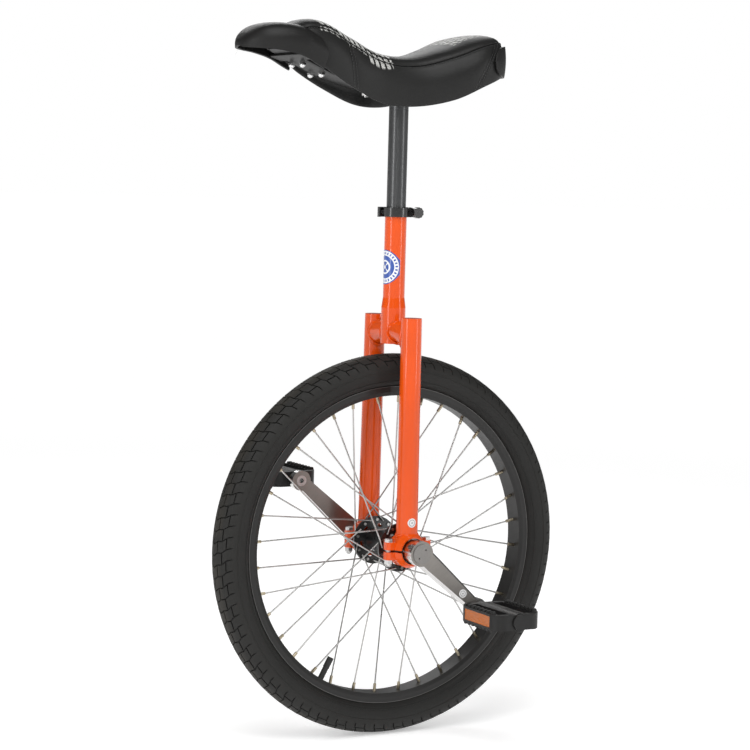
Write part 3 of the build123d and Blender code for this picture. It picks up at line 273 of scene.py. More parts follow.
def spoke_steel():
    s = Shade("spoke_steel", metallic=1.0)
    where, x, y, z = s.place(AXLE)
    streak = s.noise(where, 36.0, 2.0)
    s.set("Base Color", s.mix(streak, grey(0.36, 0.02), grey(0.62, 0.02)))
    s.set("Roughness", 0.2 + streak * 0.22)
    return s


def nipple_brass():
    s = Shade("nipple_brass", metallic=1.0)
    where, x, y, z = s.place(AXLE)
    tarnish = s.noise(where, 420.0, 3.0)
    s.set("Base Color", s.mix(tarnish, (0.36, 0.30, 0.20), (0.62, 0.55, 0.42)))
    s.set("Roughness", 0.24 + tarnish * 0.25)
    return s


def machined_steel():
    s = Shade("machined_steel", metallic=1.0)
    where, x, y, z = s.place(AXLE)
    rings = s.noise(s.stretch(where, (0.3, 6.0, 0.3)), 700.0, 3.0)
    s.set("Base Color", s.mix(rings, grey(0.38, 0.01), grey(0.6, 0.01)))
    s.set("Roughness", 0.22 + rings * 0.2)
    s.bump(rings, 0.00005, 0.3)
    return s


def crank_satin():
    """Satin front face, polished edges and bright boss."""
    s = Shade("crank_satin", metallic=1.0)
    where, x, y, z = s.place(AXLE)
    nx, ny, nz = s.facing()
    front = s.calc("ABSOLUTE", ny).above(0.9, 0.12)
    reach = s.calc("SQRT", x * x + z * z)
    arm = reach.above(0.0126, 0.001)
    turn = s.node("ShaderNodeVectorRotate", {"rotation_type": "Y_AXIS"},
                  {"Vector": where, "Angle": radians(-41.8)}).outputs[0]
    grain = s.noise(s.stretch(turn, (0.12, 1.0, 3.0)), 900.0, 3.0)
    smudge = s.noise(where, 45.0, 3.0)
    satin = s.mix(grain * 0.6 + smudge * 0.3, grey(0.19, 0.06), grey(0.34, 0.07))
    bright = s.mix(smudge, grey(0.52, 0.02), grey(0.74, 0.01))
    flat = front * arm
    s.set("Base Color", s.mix(flat, bright, satin))
    s.set("Roughness", s.blend(flat, 0.16 + smudge * 0.1, 0.36 + grain * 0.14))
    s.bump(grain, 0.00006, 0.4)
    return s


def zinc_plate():
    s = Shade("zinc_plate", metallic=1.0)
    where, *_ = s.place()
    spangle = s.cells(where, 520.0)
    s.set("Base Color", s.mix(spangle, grey(0.55, 0.02), grey(0.72, 0.01)))
    s.set("Roughness", 0.22 + spangle * 0.2)
    return s


def chrome_plate():
    s = Shade("chrome_plate", metallic=1.0)
    where, *_ = s.place()
    haze = s.noise(where, 300.0, 2.0)
    s.set("Base Color", s.mix(haze, grey(0.7), grey(0.86)))
    s.set("Roughness", 0.07 + haze * 0.08)
    return s


def cap_plastic():
    """Grey dust caps with two dark pin holes."""
    s = Shade("cap_plastic", specular_ior_level=0.45)
    where, x, y, z = s.place(AXLE)
    grain = s.noise(where, 800.0, 3.0)
    rings = s.calc("SINE", s.calc("SQRT", x * x + z * z) * 9000.0)
    s.set("Base Color", s.mix(grain, grey(0.17, 0.05), grey(0.24, 0.05)))
    s.set("Roughness", 0.42 + grain * 0.16)
    s.bump(grain + rings * 0.15, 0.00008, 0.5)
    return s


def pedal_resin():
    s = Shade("pedal_resin", specular_ior_level=0.32)
    where, *_ = s.place()
    nx, ny, nz = s.facing()
    grain = s.noise(where, 1300.0, 4.0, 0.7)
    scuff = s.noise(s.stretch(where, (1.0, 0.25, 1.0)), 190.0, 4.0, 0.65)
    top = s.calc("ABSOLUTE", nz).above(0.6, 0.5) * scuff.above(0.53, 0.14)
    plain = s.mix(grain, grey(0.007, 0.03), grey(0.016, 0.03))
    s.set("Base Color", s.mix(top * 0.55, plain, grey(0.12, 0.04)))
    s.set("Roughness", 0.34 + grain * 0.2 + top * 0.1)
    s.bump(grain + scuff * 0.6, 0.00025, 0.5)
    return s


def amber_lens():
    """Amber reflector with its grid of moulded prisms behind a clear face."""
    look = bpy.context.scene.unicycle_colours
    s = Shade("amber_lens", coat_weight=0.35, coat_roughness=0.08, specular_ior_level=0.25)
    where, x, y, z = s.place()
    prism = s.calc("PINGPONG", y + z, 0.0012) + s.calc("PINGPONG", y - z, 0.0012)
    cloud = s.noise(where, 85.0, 3.0)
    bright = [min(1.0, c * f) for c, f in zip(look.reflector, (1.3, 1.35, 1.4))]
    deep = [c * 0.66 for c in look.reflector]
    s.set("Base Color", s.mix(prism / 0.0024, deep, bright))
    s.set("Roughness", 0.14 + cloud * 0.12)
    s.bump(prism / 0.0024, 0.0006, 0.7)
    return s


def bush_bronze():
    s = Shade("bush_bronze", metallic=1.0)
    where, *_ = s.place()
    pores = s.cells(where, 1400.0)
    s.set("Base Color", s.mix(pores, (0.36, 0.24, 0.1), (0.6, 0.45, 0.22)))
    s.set("Roughness", 0.36 + pores * 0.2)
    return s


def sticker_print():
    """White label stock with plain printed marks: a wheel on the neck, a ring on the small ones."""
    s = Shade("sticker_print", coat_weight=0.7, coat_roughness=0.1)
    where, x, y, z = s.place()
    around = s.calc("ARCTAN2", y, x) * 0.0145
    up = z - 0.618
    reach = s.calc("SQRT", around * around + up * up)
    angle = s.calc("ARCTAN2", up, around)
    ticks = s.calc("SINE", angle * 26.0).above(0.1, 0.3)
    white, blue = (0.8, 0.81, 0.82), (0.018, 0.075, 0.36)
    disc = 1 - reach.above(0.0150, 0.0004)
    hoop = reach.within(0.0072, 0.0094, 0.0004)
    hub = 1 - reach.above(0.0020, 0.0004)
    bars = (s.calc("ABSOLUTE", s.calc("SINE", angle * 2.0)).above(0.96, 0.02)
            * (1 - reach.above(0.0075, 0.0004)))
    mark = s.calc("MAXIMUM", s.calc("MAXIMUM", hoop, hub), bars)
    rim = reach.within(0.0166, 0.0198, 0.0004) * ticks
    edge = reach.above(0.0212, 0.0004)
    inner = s.mix(disc, white, blue)
    marked = s.mix(mark * disc, inner, white)
    ringed = s.mix(s.calc("MAXIMUM", rim, edge), marked, blue)
    small_up, small_x = z - 0.289, x
    small = s.calc("SQRT", small_x * small_x + small_up * small_up)
    plain = s.mix(small.within(0.0036, 0.0044, 0.0003) + small.within(0.0, 0.0012, 0.0003),
                  grey(0.72), grey(0.28))
    s.set("Base Color", s.mix(z.above(0.45, 0.02), plain, ringed))
    s.set("Roughness", 0.28 + s.noise(where, 200.0) * 0.12)
    return s


def round_sticker():
    s = Shade("round_sticker", coat_weight=0.6, coat_roughness=0.1)
    reach_along = 0.082
    angle = radians(41.8)
    centre = (-reach_along * cos(angle), 0.0, AXLE.z - reach_along * sin(angle))
    where, x, y, z = s.place(centre)
    reach = s.calc("SQRT", x * x + z * z)
    s.set("Base Color", s.mix(reach.within(0.0030, 0.0038, 0.0003) + reach.within(-1.0, 0.0011, 0.0003),
                              grey(0.72), grey(0.3)))
    s.set("Roughness", 0.3 + s.noise(where, 200.0) * 0.12)
    return s


def post_gunmetal():
    s = Shade("post_gunmetal", metallic=0.85, coat_weight=0.35, coat_roughness=0.12)
    where, x, y, z = s.place()
    lines = s.calc("SINE", z * 4800.0)
    fine = s.noise(s.stretch(where, (1.0, 1.0, 14.0)), 260.0, 3.0)
    s.set("Base Color", s.mix(fine, grey(0.055, -0.02), grey(0.12, -0.02)))
    s.set("Roughness", 0.26 + fine * 0.16)
    s.bump(lines * 0.6 + fine * 0.5, 0.00012, 0.45)
    return s


def saddle_vinyl():
    """Black leather-grain vinyl with pale printed bands along the top."""
    look = bpy.context.scene.unicycle_colours
    s = Shade("saddle_vinyl", specular_ior_level=0.28)
    where, x, y, z = s.place()
    nx, ny, nz = s.facing()
    pebble = s.cells(where, 900.0, "SMOOTH_F1")
    fine = s.noise(where, 1500.0, 3.0)
    cloud = s.noise(where, 16.0, 3.0)
    front_band = x.within(0.034, 0.140, 0.001)
    rear_band = x.within(-0.104, -0.056, 0.001)
    across = s.calc("ABSOLUTE", y)
    slant = x + y * 0.35
    dash = s.calc("FRACT", slant * 120.0).above(0.38, 0.08)
    row = s.calc("FRACT", y * 78.0 + s.calc("FLOOR", slant * 24.0) * 0.37).above(0.22, 0.08)
    fleck = s.noise(where, 620.0, 3.0).above(0.47, 0.06)
    strip = across.within(0.0120, 0.0440, 0.001) * front_band
    tail = (1 - across.above(0.040, 0.001)) * rear_band
    print_mask = s.calc("MINIMUM", strip + tail, 1.0) * dash * row * nz.above(0.12, 0.1)
    base = s.mix(cloud, look.saddle, [c * 1.5 for c in look.saddle])
    s.set("Base Color", s.mix(print_mask * (fleck * 0.5 + 0.5), base, look.saddle_print))
    s.set("Roughness", 0.36 + cloud * 0.1 + pebble * 0.12 + print_mask * 0.1)
    s.bump(pebble * 0.8 + fine * 0.35, 0.0003, 0.5)
    return s


def saddle_thread():
    s = Shade("saddle_thread", sheen_weight=0.2)
    where, *_ = s.place()
    twist = s.noise(where, 2200.0, 2.0)
    s.set("Base Color", s.mix(twist, grey(0.02), grey(0.05)))
    s.set("Roughness", 0.6 + twist * 0.2)
    s.bump(twist, 0.0001, 0.4)
    return s


def base_plastic():
    s = Shade("base_plastic", specular_ior_level=0.45)
    where, *_ = s.place()
    grain = s.noise(where, 900.0, 4.0, 0.7)
    s.set("Base Color", s.mix(grain, grey(0.010), grey(0.022)))
    s.set("Roughness", 0.42 + grain * 0.2)
    s.bump(grain, 0.0002, 0.5)
    return s


def handle_plastic():
    """Satin dark grey moulding with a fine spark-eroded grain."""
    s = Shade("handle_plastic", specular_ior_level=0.28)
    where, *_ = s.place()
    grain = s.noise(where, 1500.0, 3.0, 0.7)
    cloud = s.noise(where, 22.0, 3.0)
    rub = s.noise(s.stretch(where, (0.4, 1.0, 1.0)), 260.0, 4.0, 0.7).above(0.66, 0.1)
    s.set("Base Color", s.mix(rub * 0.4, s.mix(cloud, grey(0.0075, 0.02), grey(0.0125, 0.03)), grey(0.03, 0.03)))
    s.set("Roughness", 0.36 + cloud * 0.1 + grain * 0.12)
    s.bump(grain, 0.00018, 0.5)
    return s


def floor_paper():
    """Pale paper with a painted glow that brightens to the studio's white away from the object."""
    s = Shade("floor_paper", roughness=0.85, specular_ior_level=0.1, emission_strength=1.0)
    where, x, y, z = s.place()
    away = s.step(s.calc("SQRT", x * x + y * y), 0.9, 3.6)
    s.set("Base Color", s.mix(away, s.mix(s.noise(where, 1.5), grey(0.86), grey(0.9)), grey(0.0)))
    # painted glow: the floor's own emission, dim grey near the object and white far from it
    s.set("Emission Color", s.mix(away, grey(0.36), grey(1.0)))
    return s


FINISH_MAKERS = {
    "orange_paint": orange_enamel, "black_paint": black_enamel, "tyre_rubber": tyre_rubber,
    "tube_rubber": tube_rubber, "tape_plastic": tape_plastic, "rim_black": rim_anodised,
    "spoke_steel": spoke_steel, "nipple_brass": nipple_brass, "machined_steel": machined_steel,
    "crank_steel": crank_satin, "bolt_zinc": zinc_plate, "chrome_nut": chrome_plate,
    "cap_grey": cap_plastic, "pedal_resin": pedal_resin, "reflector_amber": amber_lens,
    "bush_bronze": bush_bronze, "badge_white": sticker_print, "post_gunmetal": post_gunmetal,
    "saddle_vinyl": saddle_vinyl, "saddle_plastic": base_plastic, "handle_plastic": handle_plastic,
    "round_sticker": round_sticker, "saddle_thread": saddle_thread, "floor_paper": floor_paper,
}


# ------------------------------------------------------------------ mesh helpers
def mesh_object(name, points, faces):
    """An object at the origin from points in metres and faces."""
    mesh = bpy.data.meshes.new(name)
    mesh.from_pydata([tuple(p) for p in points], [], faces)
    mesh.update()
    made = bpy.data.objects.new(name, mesh)
    bpy.context.scene.collection.objects.link(made)
    return made


def grid_faces(rows, columns, closed_rows=False, closed_columns=False):
    """Quads over a grid of points listed row by row."""
    faces = []
    for r in range(rows if closed_rows else rows - 1):
        for c in range(columns if closed_columns else columns - 1):
            r2, c2 = (r + 1) % rows, (c + 1) % columns
            faces.append((r * columns + c, r * columns + c2, r2 * columns + c2, r2 * columns + c))
    return faces


def set_finish(made, finish):
    """One finish over the whole mesh."""
    made.data.materials.clear()
    made.data.materials.append(finish_named(finish))


def outwards(made, merge=1e-6):
    """Doubles merged and faces pointing out of the closed mesh."""
    shape = bmesh.new()
    shape.from_mesh(made.data)
    bmesh.ops.remove_doubles(shape, verts=shape.verts, dist=merge)
    bmesh.ops.recalc_face_normals(shape, faces=shape.faces)
    shape.to_mesh(made.data)
    shape.free()


def smooth(made, angle=38.0):
    """Smooth shading with edges sharper than the angle kept crisp."""
    made.data.shade_smooth()
    made.data.set_sharp_from_angle(angle=radians(angle))


def solid(made):
    """The object with its modifiers' result as a plain mesh."""
    view = bpy.context.evaluated_depsgraph_get()
    result = bpy.data.meshes.new_from_object(made.evaluated_get(view), depsgraph=view)
    old = made.data
    made.modifiers.clear()
    made.data = result
    result.name = made.name
    if old.users == 0:
        (bpy.data.meshes if isinstance(old, bpy.types.Mesh) else bpy.data.curves).remove(old)
    return made


def modifier(made, kind, **settings):
    added = made.modifiers.new(kind.lower(), kind)
    for key, value in settings.items():
        setattr(added, key, value)
    return added


def seat_piece(made, body, slot, finish=None, replaces=(), finished_angle=38.0):
    """Finish, ride, slot and replaced nodes of a new piece."""
    set_finish(made, finish or slot)
    smooth(made, finished_angle)
    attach(made, body)
    if replaces:
        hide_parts(*replaces)
    return made


def dress(slot, *names):
    """The finish of a record slot on the CAD nodes named."""
    for name in names:
        mesh = NODES[name].data
        if not mesh.materials:
            mesh.materials.append(finish_named(slot))
        for index in range(len(mesh.materials)):
            mesh.materials[index] = finish_named(slot)


def flow(points, place):
    """Smooth interpolation of (key, values...) rows at a place along their first column."""
    keys = [p[0] for p in points]
    place = min(max(place, keys[0]), keys[-1])
    i = max(k for k in range(len(keys) - 1) if keys[k] <= place)
    t = (place - keys[i]) / (keys[i + 1] - keys[i])
    found = []
    for c in range(1, len(points[0])):
        p1, p2 = points[i][c], points[i + 1][c]
        span = keys[i + 1] - keys[i]
        m1 = (p2 - p1) if i == 0 else (p2 - points[i - 1][c]) / (keys[i + 1] - keys[i - 1]) * span
        last = i + 2 >= len(keys)
        m2 = (p2 - p1) if last else (points[i + 2][c] - p1) / (keys[i + 2] - keys[i]) * span
        found.append((2 * t ** 3 - 3 * t ** 2 + 1) * p1 + (t ** 3 - 2 * t ** 2 + t) * m1
                     + (3 * t ** 2 - 2 * t ** 3) * p2 + (t ** 3 - t ** 2) * m2)
    return found


# ------------------------------------------------------------------ geometry trees
class Tree:
    """A Geometry Nodes tree with named inputs, ending in Realize Instances and Set Material."""

    def __init__(self, name, inputs):
        self.group = bpy.data.node_groups.new(name, "GeometryNodeTree")
        face = self.group.interface
        face.new_socket("Geometry", in_out="INPUT", socket_type="NodeSocketGeometry")
        face.new_socket("Geometry", in_out="OUTPUT", socket_type="NodeSocketGeometry")
        for label, kind in inputs:
            face.new_socket(label, in_out="INPUT", socket_type=kind)
        self.start = self.group.nodes.new("NodeGroupInput")

    def node(self, kind, settings=None, inputs=()):
        made = self.group.nodes.new(kind)
        for key, value in (settings or {}).items():
            setattr(made, key, value)
        pairs = inputs.items() if isinstance(inputs, dict) else enumerate(inputs)
        for key, value in pairs:
            if isinstance(value, bpy.types.NodeSocket):
                self.group.links.new(value, made.inputs[key])
            else:
                made.inputs[key].default_value = value
        return made

    def given(self, label):
        return self.start.outputs[label]

    def end(self, geometry):
        whole = self.node("GeometryNodeRealizeInstances", {}, [geometry])
        welded = self.node("GeometryNodeMergeByDistance", {},
                           {"Geometry": whole.outputs[0], "Distance": 2e-6})
        dressed = self.node("GeometryNodeSetMaterial", {}, {"Geometry": welded.outputs[0],
                                                            "Material": self.given("Material")})
        self.group.links.new(dressed.outputs[0], self.group.nodes.new("NodeGroupOutput").inputs[0])
        return self.group


def grow(made, tree, **values):
    """Puts a tree on an object with its inputs set by identifier, and makes the result a plain mesh."""
    added = made.modifiers.new(tree.name, "NODES")
    added.node_group = tree
    for item in tree.interface.items_tree:
        if item.item_type == "SOCKET" and item.in_out == "INPUT" and item.name in values:
            added[item.identifier] = values[item.name]
    return solid(made)


def ring_tree():
    """Copies of the object's own mesh, evenly turned round the axle line."""
    t = Tree("copies_round_axle", [("Count", "NodeSocketInt"), ("Material", "NodeSocketMaterial")])
    row = t.node("GeometryNodeMeshLine", {}, {"Count": t.given("Count"), "Offset": (0, 0, 0)})
    index = t.node("GeometryNodeInputIndex")
    share = t.node("ShaderNodeMath", {"operation": "DIVIDE"}, [index.outputs[0], t.given("Count")])
    turn = t.node("ShaderNodeMath", {"operation": "MULTIPLY"}, [share.outputs[0], 2 * pi])
    spin = t.node("ShaderNodeCombineXYZ", {}, {"Y": turn.outputs[0]})
    copies = t.node("GeometryNodeInstanceOnPoints", {}, {"Points": row.outputs[0],
                                                         "Instance": t.given("Geometry"),
                                                         "Rotation": spin.outputs[0]})
    placed = t.node("GeometryNodeTransform", {}, {"Geometry": copies.outputs[0], "Translation": AXLE})
    return t.end(placed.outputs[0])


def bead_tree():
    """Small rounded beads laid end to end along a curve: stitches, weld ripples and knurls."""
    t = Tree("beads_along_line", [("Pitch", "NodeSocketFloat"), ("Size", "NodeSocketVector"),
                                  ("Material", "NodeSocketMaterial")])
    points = t.node("GeometryNodeCurveToPoints", {"mode": "LENGTH"}, {"Curve": t.given("Geometry"),
                                                                      "Length": t.given("Pitch")})
    ball = t.node("GeometryNodeMeshUVSphere", {}, {"Segments": 8, "Rings": 5, "Radius": 1.0})
    soft = t.node("GeometryNodeSetShadeSmooth", {}, [ball.outputs[0]])
    copies = t.node("GeometryNodeInstanceOnPoints", {}, {"Points": points.outputs["Points"],
                                                         "Instance": soft.outputs[0],
                                                         "Rotation": points.outputs["Rotation"],
                                                         "Scale": t.given("Size")})
    return t.end(copies.outputs[0])


def cord_tree():
    """A round cord along a curve, its thickness rippled by a fixed pitch."""
    t = Tree("round_cord_along_line", [("Radius", "NodeSocketFloat"), ("Step", "NodeSocketFloat"),
                                       ("Ripple", "NodeSocketFloat"), ("Material", "NodeSocketMaterial")])
    even = t.node("GeometryNodeResampleCurve", {"mode": "LENGTH"}, {"Curve": t.given("Geometry"),
                                                                    "Length": t.given("Step")})
    index = t.node("GeometryNodeInputIndex")
    wave = t.node("ShaderNodeMath", {"operation": "MODULO"}, [index.outputs[0], 3.0])
    swell = t.node("ShaderNodeMath", {"operation": "MULTIPLY"}, [wave.outputs[0], t.given("Ripple")])
    thick = t.node("ShaderNodeMath", {"operation": "ADD"}, [swell.outputs[0], 1.0])
    section = t.node("GeometryNodeCurvePrimitiveCircle", {"mode": "RADIUS"},
                     {"Resolution": 10, "Radius": t.given("Radius")})
    tube = t.node("GeometryNodeCurveToMesh", {}, {"Curve": even.outputs[0],
                                                  "Profile Curve": section.outputs[0],
                                                  "Fill Caps": True})
    if "Scale" in tube.inputs:
        t.group.links.new(thick.outputs[0], tube.inputs["Scale"])
    soft = t.node("GeometryNodeSetShadeSmooth", {}, [tube.outputs[0]])
    return t.end(soft.outputs[0])


TREES = {}


def tree_named(name):
    if name not in TREES:
        TREES[name] = {"ring": ring_tree, "bead": bead_tree, "cord": cord_tree}[name]()
    return TREES[name]


def line_object(name, lines):
    """A curve object of open or closed runs of points: lines is a list of (points, closed)."""
    curve = bpy.data.curves.new(name, "CURVE")
    curve.dimensions = "3D"
    for points, closed in lines:
        run = curve.splines.new("POLY")
        run.points.add(len(points) - 1)
        for spot, p in zip(run.points, points):
            spot.co = (*p, 1.0)
        run.use_cyclic_u = closed
    made = bpy.data.objects.new(name, curve)
    bpy.context.scene.collection.objects.link(made)
    return made


def along_lines(name, kind, lines, finish, **values):
    """A mesh object grown along lines by one of the trees."""
    made = line_object(name, lines)
    view = bpy.context.evaluated_depsgraph_get()
    added = made.modifiers.new(kind, "NODES")
    tree = tree_named(kind)
    added.node_group = tree
    values["Material"] = finish_named(finish)
    for item in tree.interface.items_tree:
        if item.item_type == "SOCKET" and item.in_out == "INPUT" and item.name in values:
            added[item.identifier] = values[item.name]
    view = bpy.context.evaluated_depsgraph_get()
    mesh = bpy.data.meshes.new_from_object(made.evaluated_get(view), depsgraph=view)
    curve = made.data
    bpy.data.objects.remove(made)
    bpy.data.curves.remove(curve)
    mesh.name = name
    grown = bpy.data.objects.new(name, mesh)
    bpy.context.scene.collection.objects.link(grown)
    return grown


# ------------------------------------------------------------------ tyre
TYRE_SIDE = (
    (24.3, 233.9), (25.1, 230.8), (25.4, 227.6), (25.3, 225.0), (24.5, 221.2), (23.0, 217.8),
    (21.4, 215.3), (20.9, 215.1), (20.2, 214.0), (18.0, 212.3), (15.6, 211.3), (13.6, 210.6), (13.3, 207.4),
    (12.2, 204.2), (10.4, 204.6), (11.2, 208.2), (15.4, 213.0), (19.8, 220.0), (21.2, 227.4), (19.6, 235.0),
)
TYRE_CROWN_INSIDE = ((14.5, 243.0), (7.5, 246.8), (0.0, 247.8))
SIPES_ODD = (-15.0, 0.0, 15.0)
SIPES_EVEN = (-21.0, -7.5, 7.5, 21.0)
TREAD_REACH = 30.0
TREAD_LEAN = 13.0
TREAD_ZIGZAG = 2.2


def tread_lean(arc):
    """How far a groove has run back along the tyre at a distance from the centre line."""
    zigzag = abs((abs(arc) / 7.5) % 2 - 1)
    return -TREAD_LEAN * (abs(arc) / TREAD_REACH) ** 1.25 + TREAD_ZIGZAG * zigzag


ARC_ROWS, ARC_PITCH, ARC_INSET = 5, 4.4, 0.39  # extra rows of points across the tread, mm


def tyre_segment(sizes):
    """Two tread pitches of the tyre round the axle line, with its curved grooves and staggered sipes."""
    pitches = sizes.pitches
    step = 2 * pi / pitches
    groove, depth = sizes.groove_width / MM, sizes.groove_depth / MM
    crown, section = 252.4, 25.4
    reach = TREAD_REACH
    half = groove / 2
    marks = {-reach, reach}
    for sipe in SIPES_ODD + SIPES_EVEN:
        marks.update((sipe - half, sipe - half * 0.55, sipe + half * 0.55, sipe + half))
    marks.add(0.0)
    for k in range(1, ARC_ROWS + 1):
        row = k * ARC_PITCH - ARC_INSET
        marks.update((row, -row))
    marks.update((-25.5, -28.0, 25.5, 28.0))
    arcs = sorted(marks)
    share = groove / (step * crown)
    turns = []
    for pitch in (0, 1):
        turns += [(pitch, -share / 2), (pitch, -share * 0.27), (pitch, share * 0.27), (pitch, share / 2),
                  (pitch, 0.30), (pitch, 0.52), (pitch, 0.76)]
    turns.append((2, -share / 2))
    points = []
    for pitch, place in turns:
        sipes = SIPES_ODD if pitch % 2 == 0 else SIPES_EVEN
        in_groove = abs(place) < share * 0.4
        for arc in arcs:
            lean = tread_lean(arc)
            tilt = (pitch + place) * step + lean / crown
            fade = min(1.0, max(0.0, (reach - abs(arc)) / 4.0))
            cut = in_groove or (place > share * 0.4 and any(abs(arc - s) < half * 0.7 for s in sipes))
            dome = 0.35 * sin(pi * min(1.0, max(0.0, place))) if not cut else 0.0
            rise = -depth * fade if cut else -dome * 0.4
            turn = arc / section
            radius = crown - section + (section + rise) * cos(turn)
            y = (section + rise) * sin(turn)
            points.append((y, radius, tilt))
        outer = [(y, r) for y, r in TYRE_SIDE]
        inside = [(y, r) for y, r in TYRE_CROWN_INSIDE]
        rest = outer + inside + [(-y, r) for y, r in reversed(outer + inside[:-1])]
        lean = tread_lean(reach) / crown
        for y, r in rest:
            points.append((y, r, (pitch + place) * step + lean))
    columns = len(points) // len(turns)
    placed = [(r * MM * sin(a), y * MM, r * MM * cos(a)) for y, r, a in points]
    return placed, grid_faces(len(turns), columns, closed_columns=True)


def build_tyre(sizes):
    points, faces = tyre_segment(sizes)
    tyre = mesh_object("tread_and_casing", points, faces)
    grow(tyre, tree_named("ring"), Count=sizes.pitches // 2, Material=finish_named("tyre_rubber"))
    outwards(tyre, 4e-6)
    seat_piece(tyre, "wheel", "tyre_rubber", replaces=("tyre",), finished_angle=32.0)
    rib = []
    for side in (1, -1):
        for y, radius, size in ((23.2, 217.9, 0.55), (25.15, 231.0, 0.4)):
            ring = [(radius * MM * cos(2 * pi * k / 180), side * y * MM,
                     AXLE.z + radius * MM * sin(2 * pi * k / 180)) for k in range(180)]
            rib.append((ring, True))
    lines = along_lines("sidewall_ribs", "cord", rib, "tyre_rubber", Radius=0.0006, Step=0.009, Ripple=0.0)
    seat_piece(lines, "wheel", "tyre_rubber")


# ------------------------------------------------------------------ frame welds
def holder_weld(side):
    """Line where a fork leg's oval foot meets its bearing holder."""
    points = []
    for k in range(72):
        a = 2 * pi * k / 72
        x, y = 14.9 * cos(a), 51.5 + 10.2 * sin(a)
        points.append((x * MM, side * y * MM, AXLE.z + sqrt(23.3 ** 2 - x * x) * MM))
    return points, True


def crown_weld(side):
    """Line where a bridge meets the crown tube."""
    z = (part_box("crown_bridge_left")[0].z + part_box("crown_bridge_left")[1].z) / 2
    points = []
    for k in range(60):
        a = 2 * pi * k / 60
        x, up = 13.6 * cos(a), 14.2 * sin(a)
        points.append((x * MM, side * sqrt(16.2 ** 2 - x * x) * MM, z + up * MM + 0.001))
    return points, True


def leg_weld(side):
    """Line where a bridge's flared end meets a fork leg."""
    low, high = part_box("crown_bridge_left")
    z = (low.z + high.z) / 2 - 0.0022
    points = []
    for k in range(60):
        a = 2 * pi * k / 60
        x, up = 12.6 * cos(a), (high.z - low.z) / 2 * sin(a) / MM
        points.append((x * MM, side * (48.7 - sqrt(13.7 ** 2 - x * x)) * MM, z + up * MM))
    return points, True


def build_welds(sizes):
    joints = [f(side) for f in (holder_weld, crown_weld, leg_weld) for side in (1, -1)]
    bead = along_lines("frame_welds", "cord", joints, "orange_paint", Radius=sizes.weld_radius,
                       Step=0.0011, Ripple=0.05)
    seat_piece(bead, "frame", "orange_paint", finished_angle=60.0)


# ------------------------------------------------------------------ saddle
SADDLE = (
    (-128.0, 38.0, 871.0, 908.0), (-114.0, 70.0, 867.0, 922.0), (-84.0, 82.0, 855.0, 919.5),
    (-45.0, 73.0, 836.5, 904.5), (0.0, 54.0, 826.5, 891.0), (45.0, 46.0, 828.5, 894.0),
    (90.0, 47.0, 846.5, 913.0), (126.0, 49.0, 866.0, 929.0), (150.0, 46.0, 882.0, 930.0),
    (170.0, 38.0, 891.0, 920.0), (183.0, 28.0, 894.0, 912.0),
)
HOOD = (
    (124.0, 52.5, 862.0, 912.0), (145.0, 53.5, 872.0, 919.0), (165.0, 53.0, 882.0, 924.0),
    (190.0, 48.0, 888.0, 925.0), (211.0, 38.5, 890.0, 920.5), (225.0, 25.0, 891.0, 911.0),
    (232.5, 11.5, 892.0, 902.0), (234.0, 3.0, 894.0, 898.5),
)
SECTION = (
    (0.0, 0.0, 1.0), (0.2, 0.36, 0.982), (0.4, 0.68, 0.915), (0.52, 0.84, 0.82), (0.66, 0.94, 0.66),
    (0.82, 0.995, 0.42), (1.0, 0.94, 0.0),
)
BASE_LINE = (
    (-122.0, 883.5), (-90.0, 868.5), (-55.0, 851.5), (55.0, 851.5), (90.0, 860.5), (112.0, 869.5),
    (154.0, 886.9), (176.0, 894.5),
)
SEAM_AT = 0.535


def skin_point(stations, x, t):
    """Point of a saddle envelope at x, t running from -1 at the right edge to 1 at the left."""
    wide, low, top = flow(stations, x)
    fy, fz = flow(SECTION, abs(t))
    return Vector((x, (1 if t >= 0 else -1) * fy * wide, low + fz * (top - low)))


def side_seams(t):
    """Places along x of the two upright seams at a height on the side."""
    down = (abs(t) - SEAM_AT) / (1 - SEAM_AT)
    return 97.0 - 10.0 * down ** 1.6, -104.0 + 34.0 * down ** 1.3


def seam_dip(x, t, sizes):
    """How far the vinyl is pulled in by its seams, and how far it swells between them."""
    wide, low, top = flow(SADDLE, x)
    away = (abs(t) - SEAM_AT) * (wide + top - low) * 0.9
    gaps = [away]
    if abs(t) > SEAM_AT:
        gaps += [x - place for place in side_seams(t)]
    nearest = min(abs(g) for g in gaps)
    depth, width = sizes.seam_depth / MM, sizes.seam_width / MM
    swell = 0.7 * (1 - 2.718 ** (-(nearest / 9.0) ** 2))
    return -depth * 2.718 ** (-(nearest / width) ** 2) + swell


def cushion_rows():
    """Places along x, closer together at the rounded ends, and how much each section is drawn in."""
    rows = [(-128.0, 0.0), (-128.0, 0.55), (-127.8, 0.78), (-127.2, 0.90), (-126.0, 0.97)]
    count = 150
    for k in range(count):
        rows.append((-124.4 + (178.5 + 124.4) * k / (count - 1), 1.0))
    return rows + [(180.6, 0.97), (182.2, 0.88), (183.0, 0.7), (183.0, 0.0)]


BASE_CLEARANCE = 0.3  # mm the skin stays above the base shell


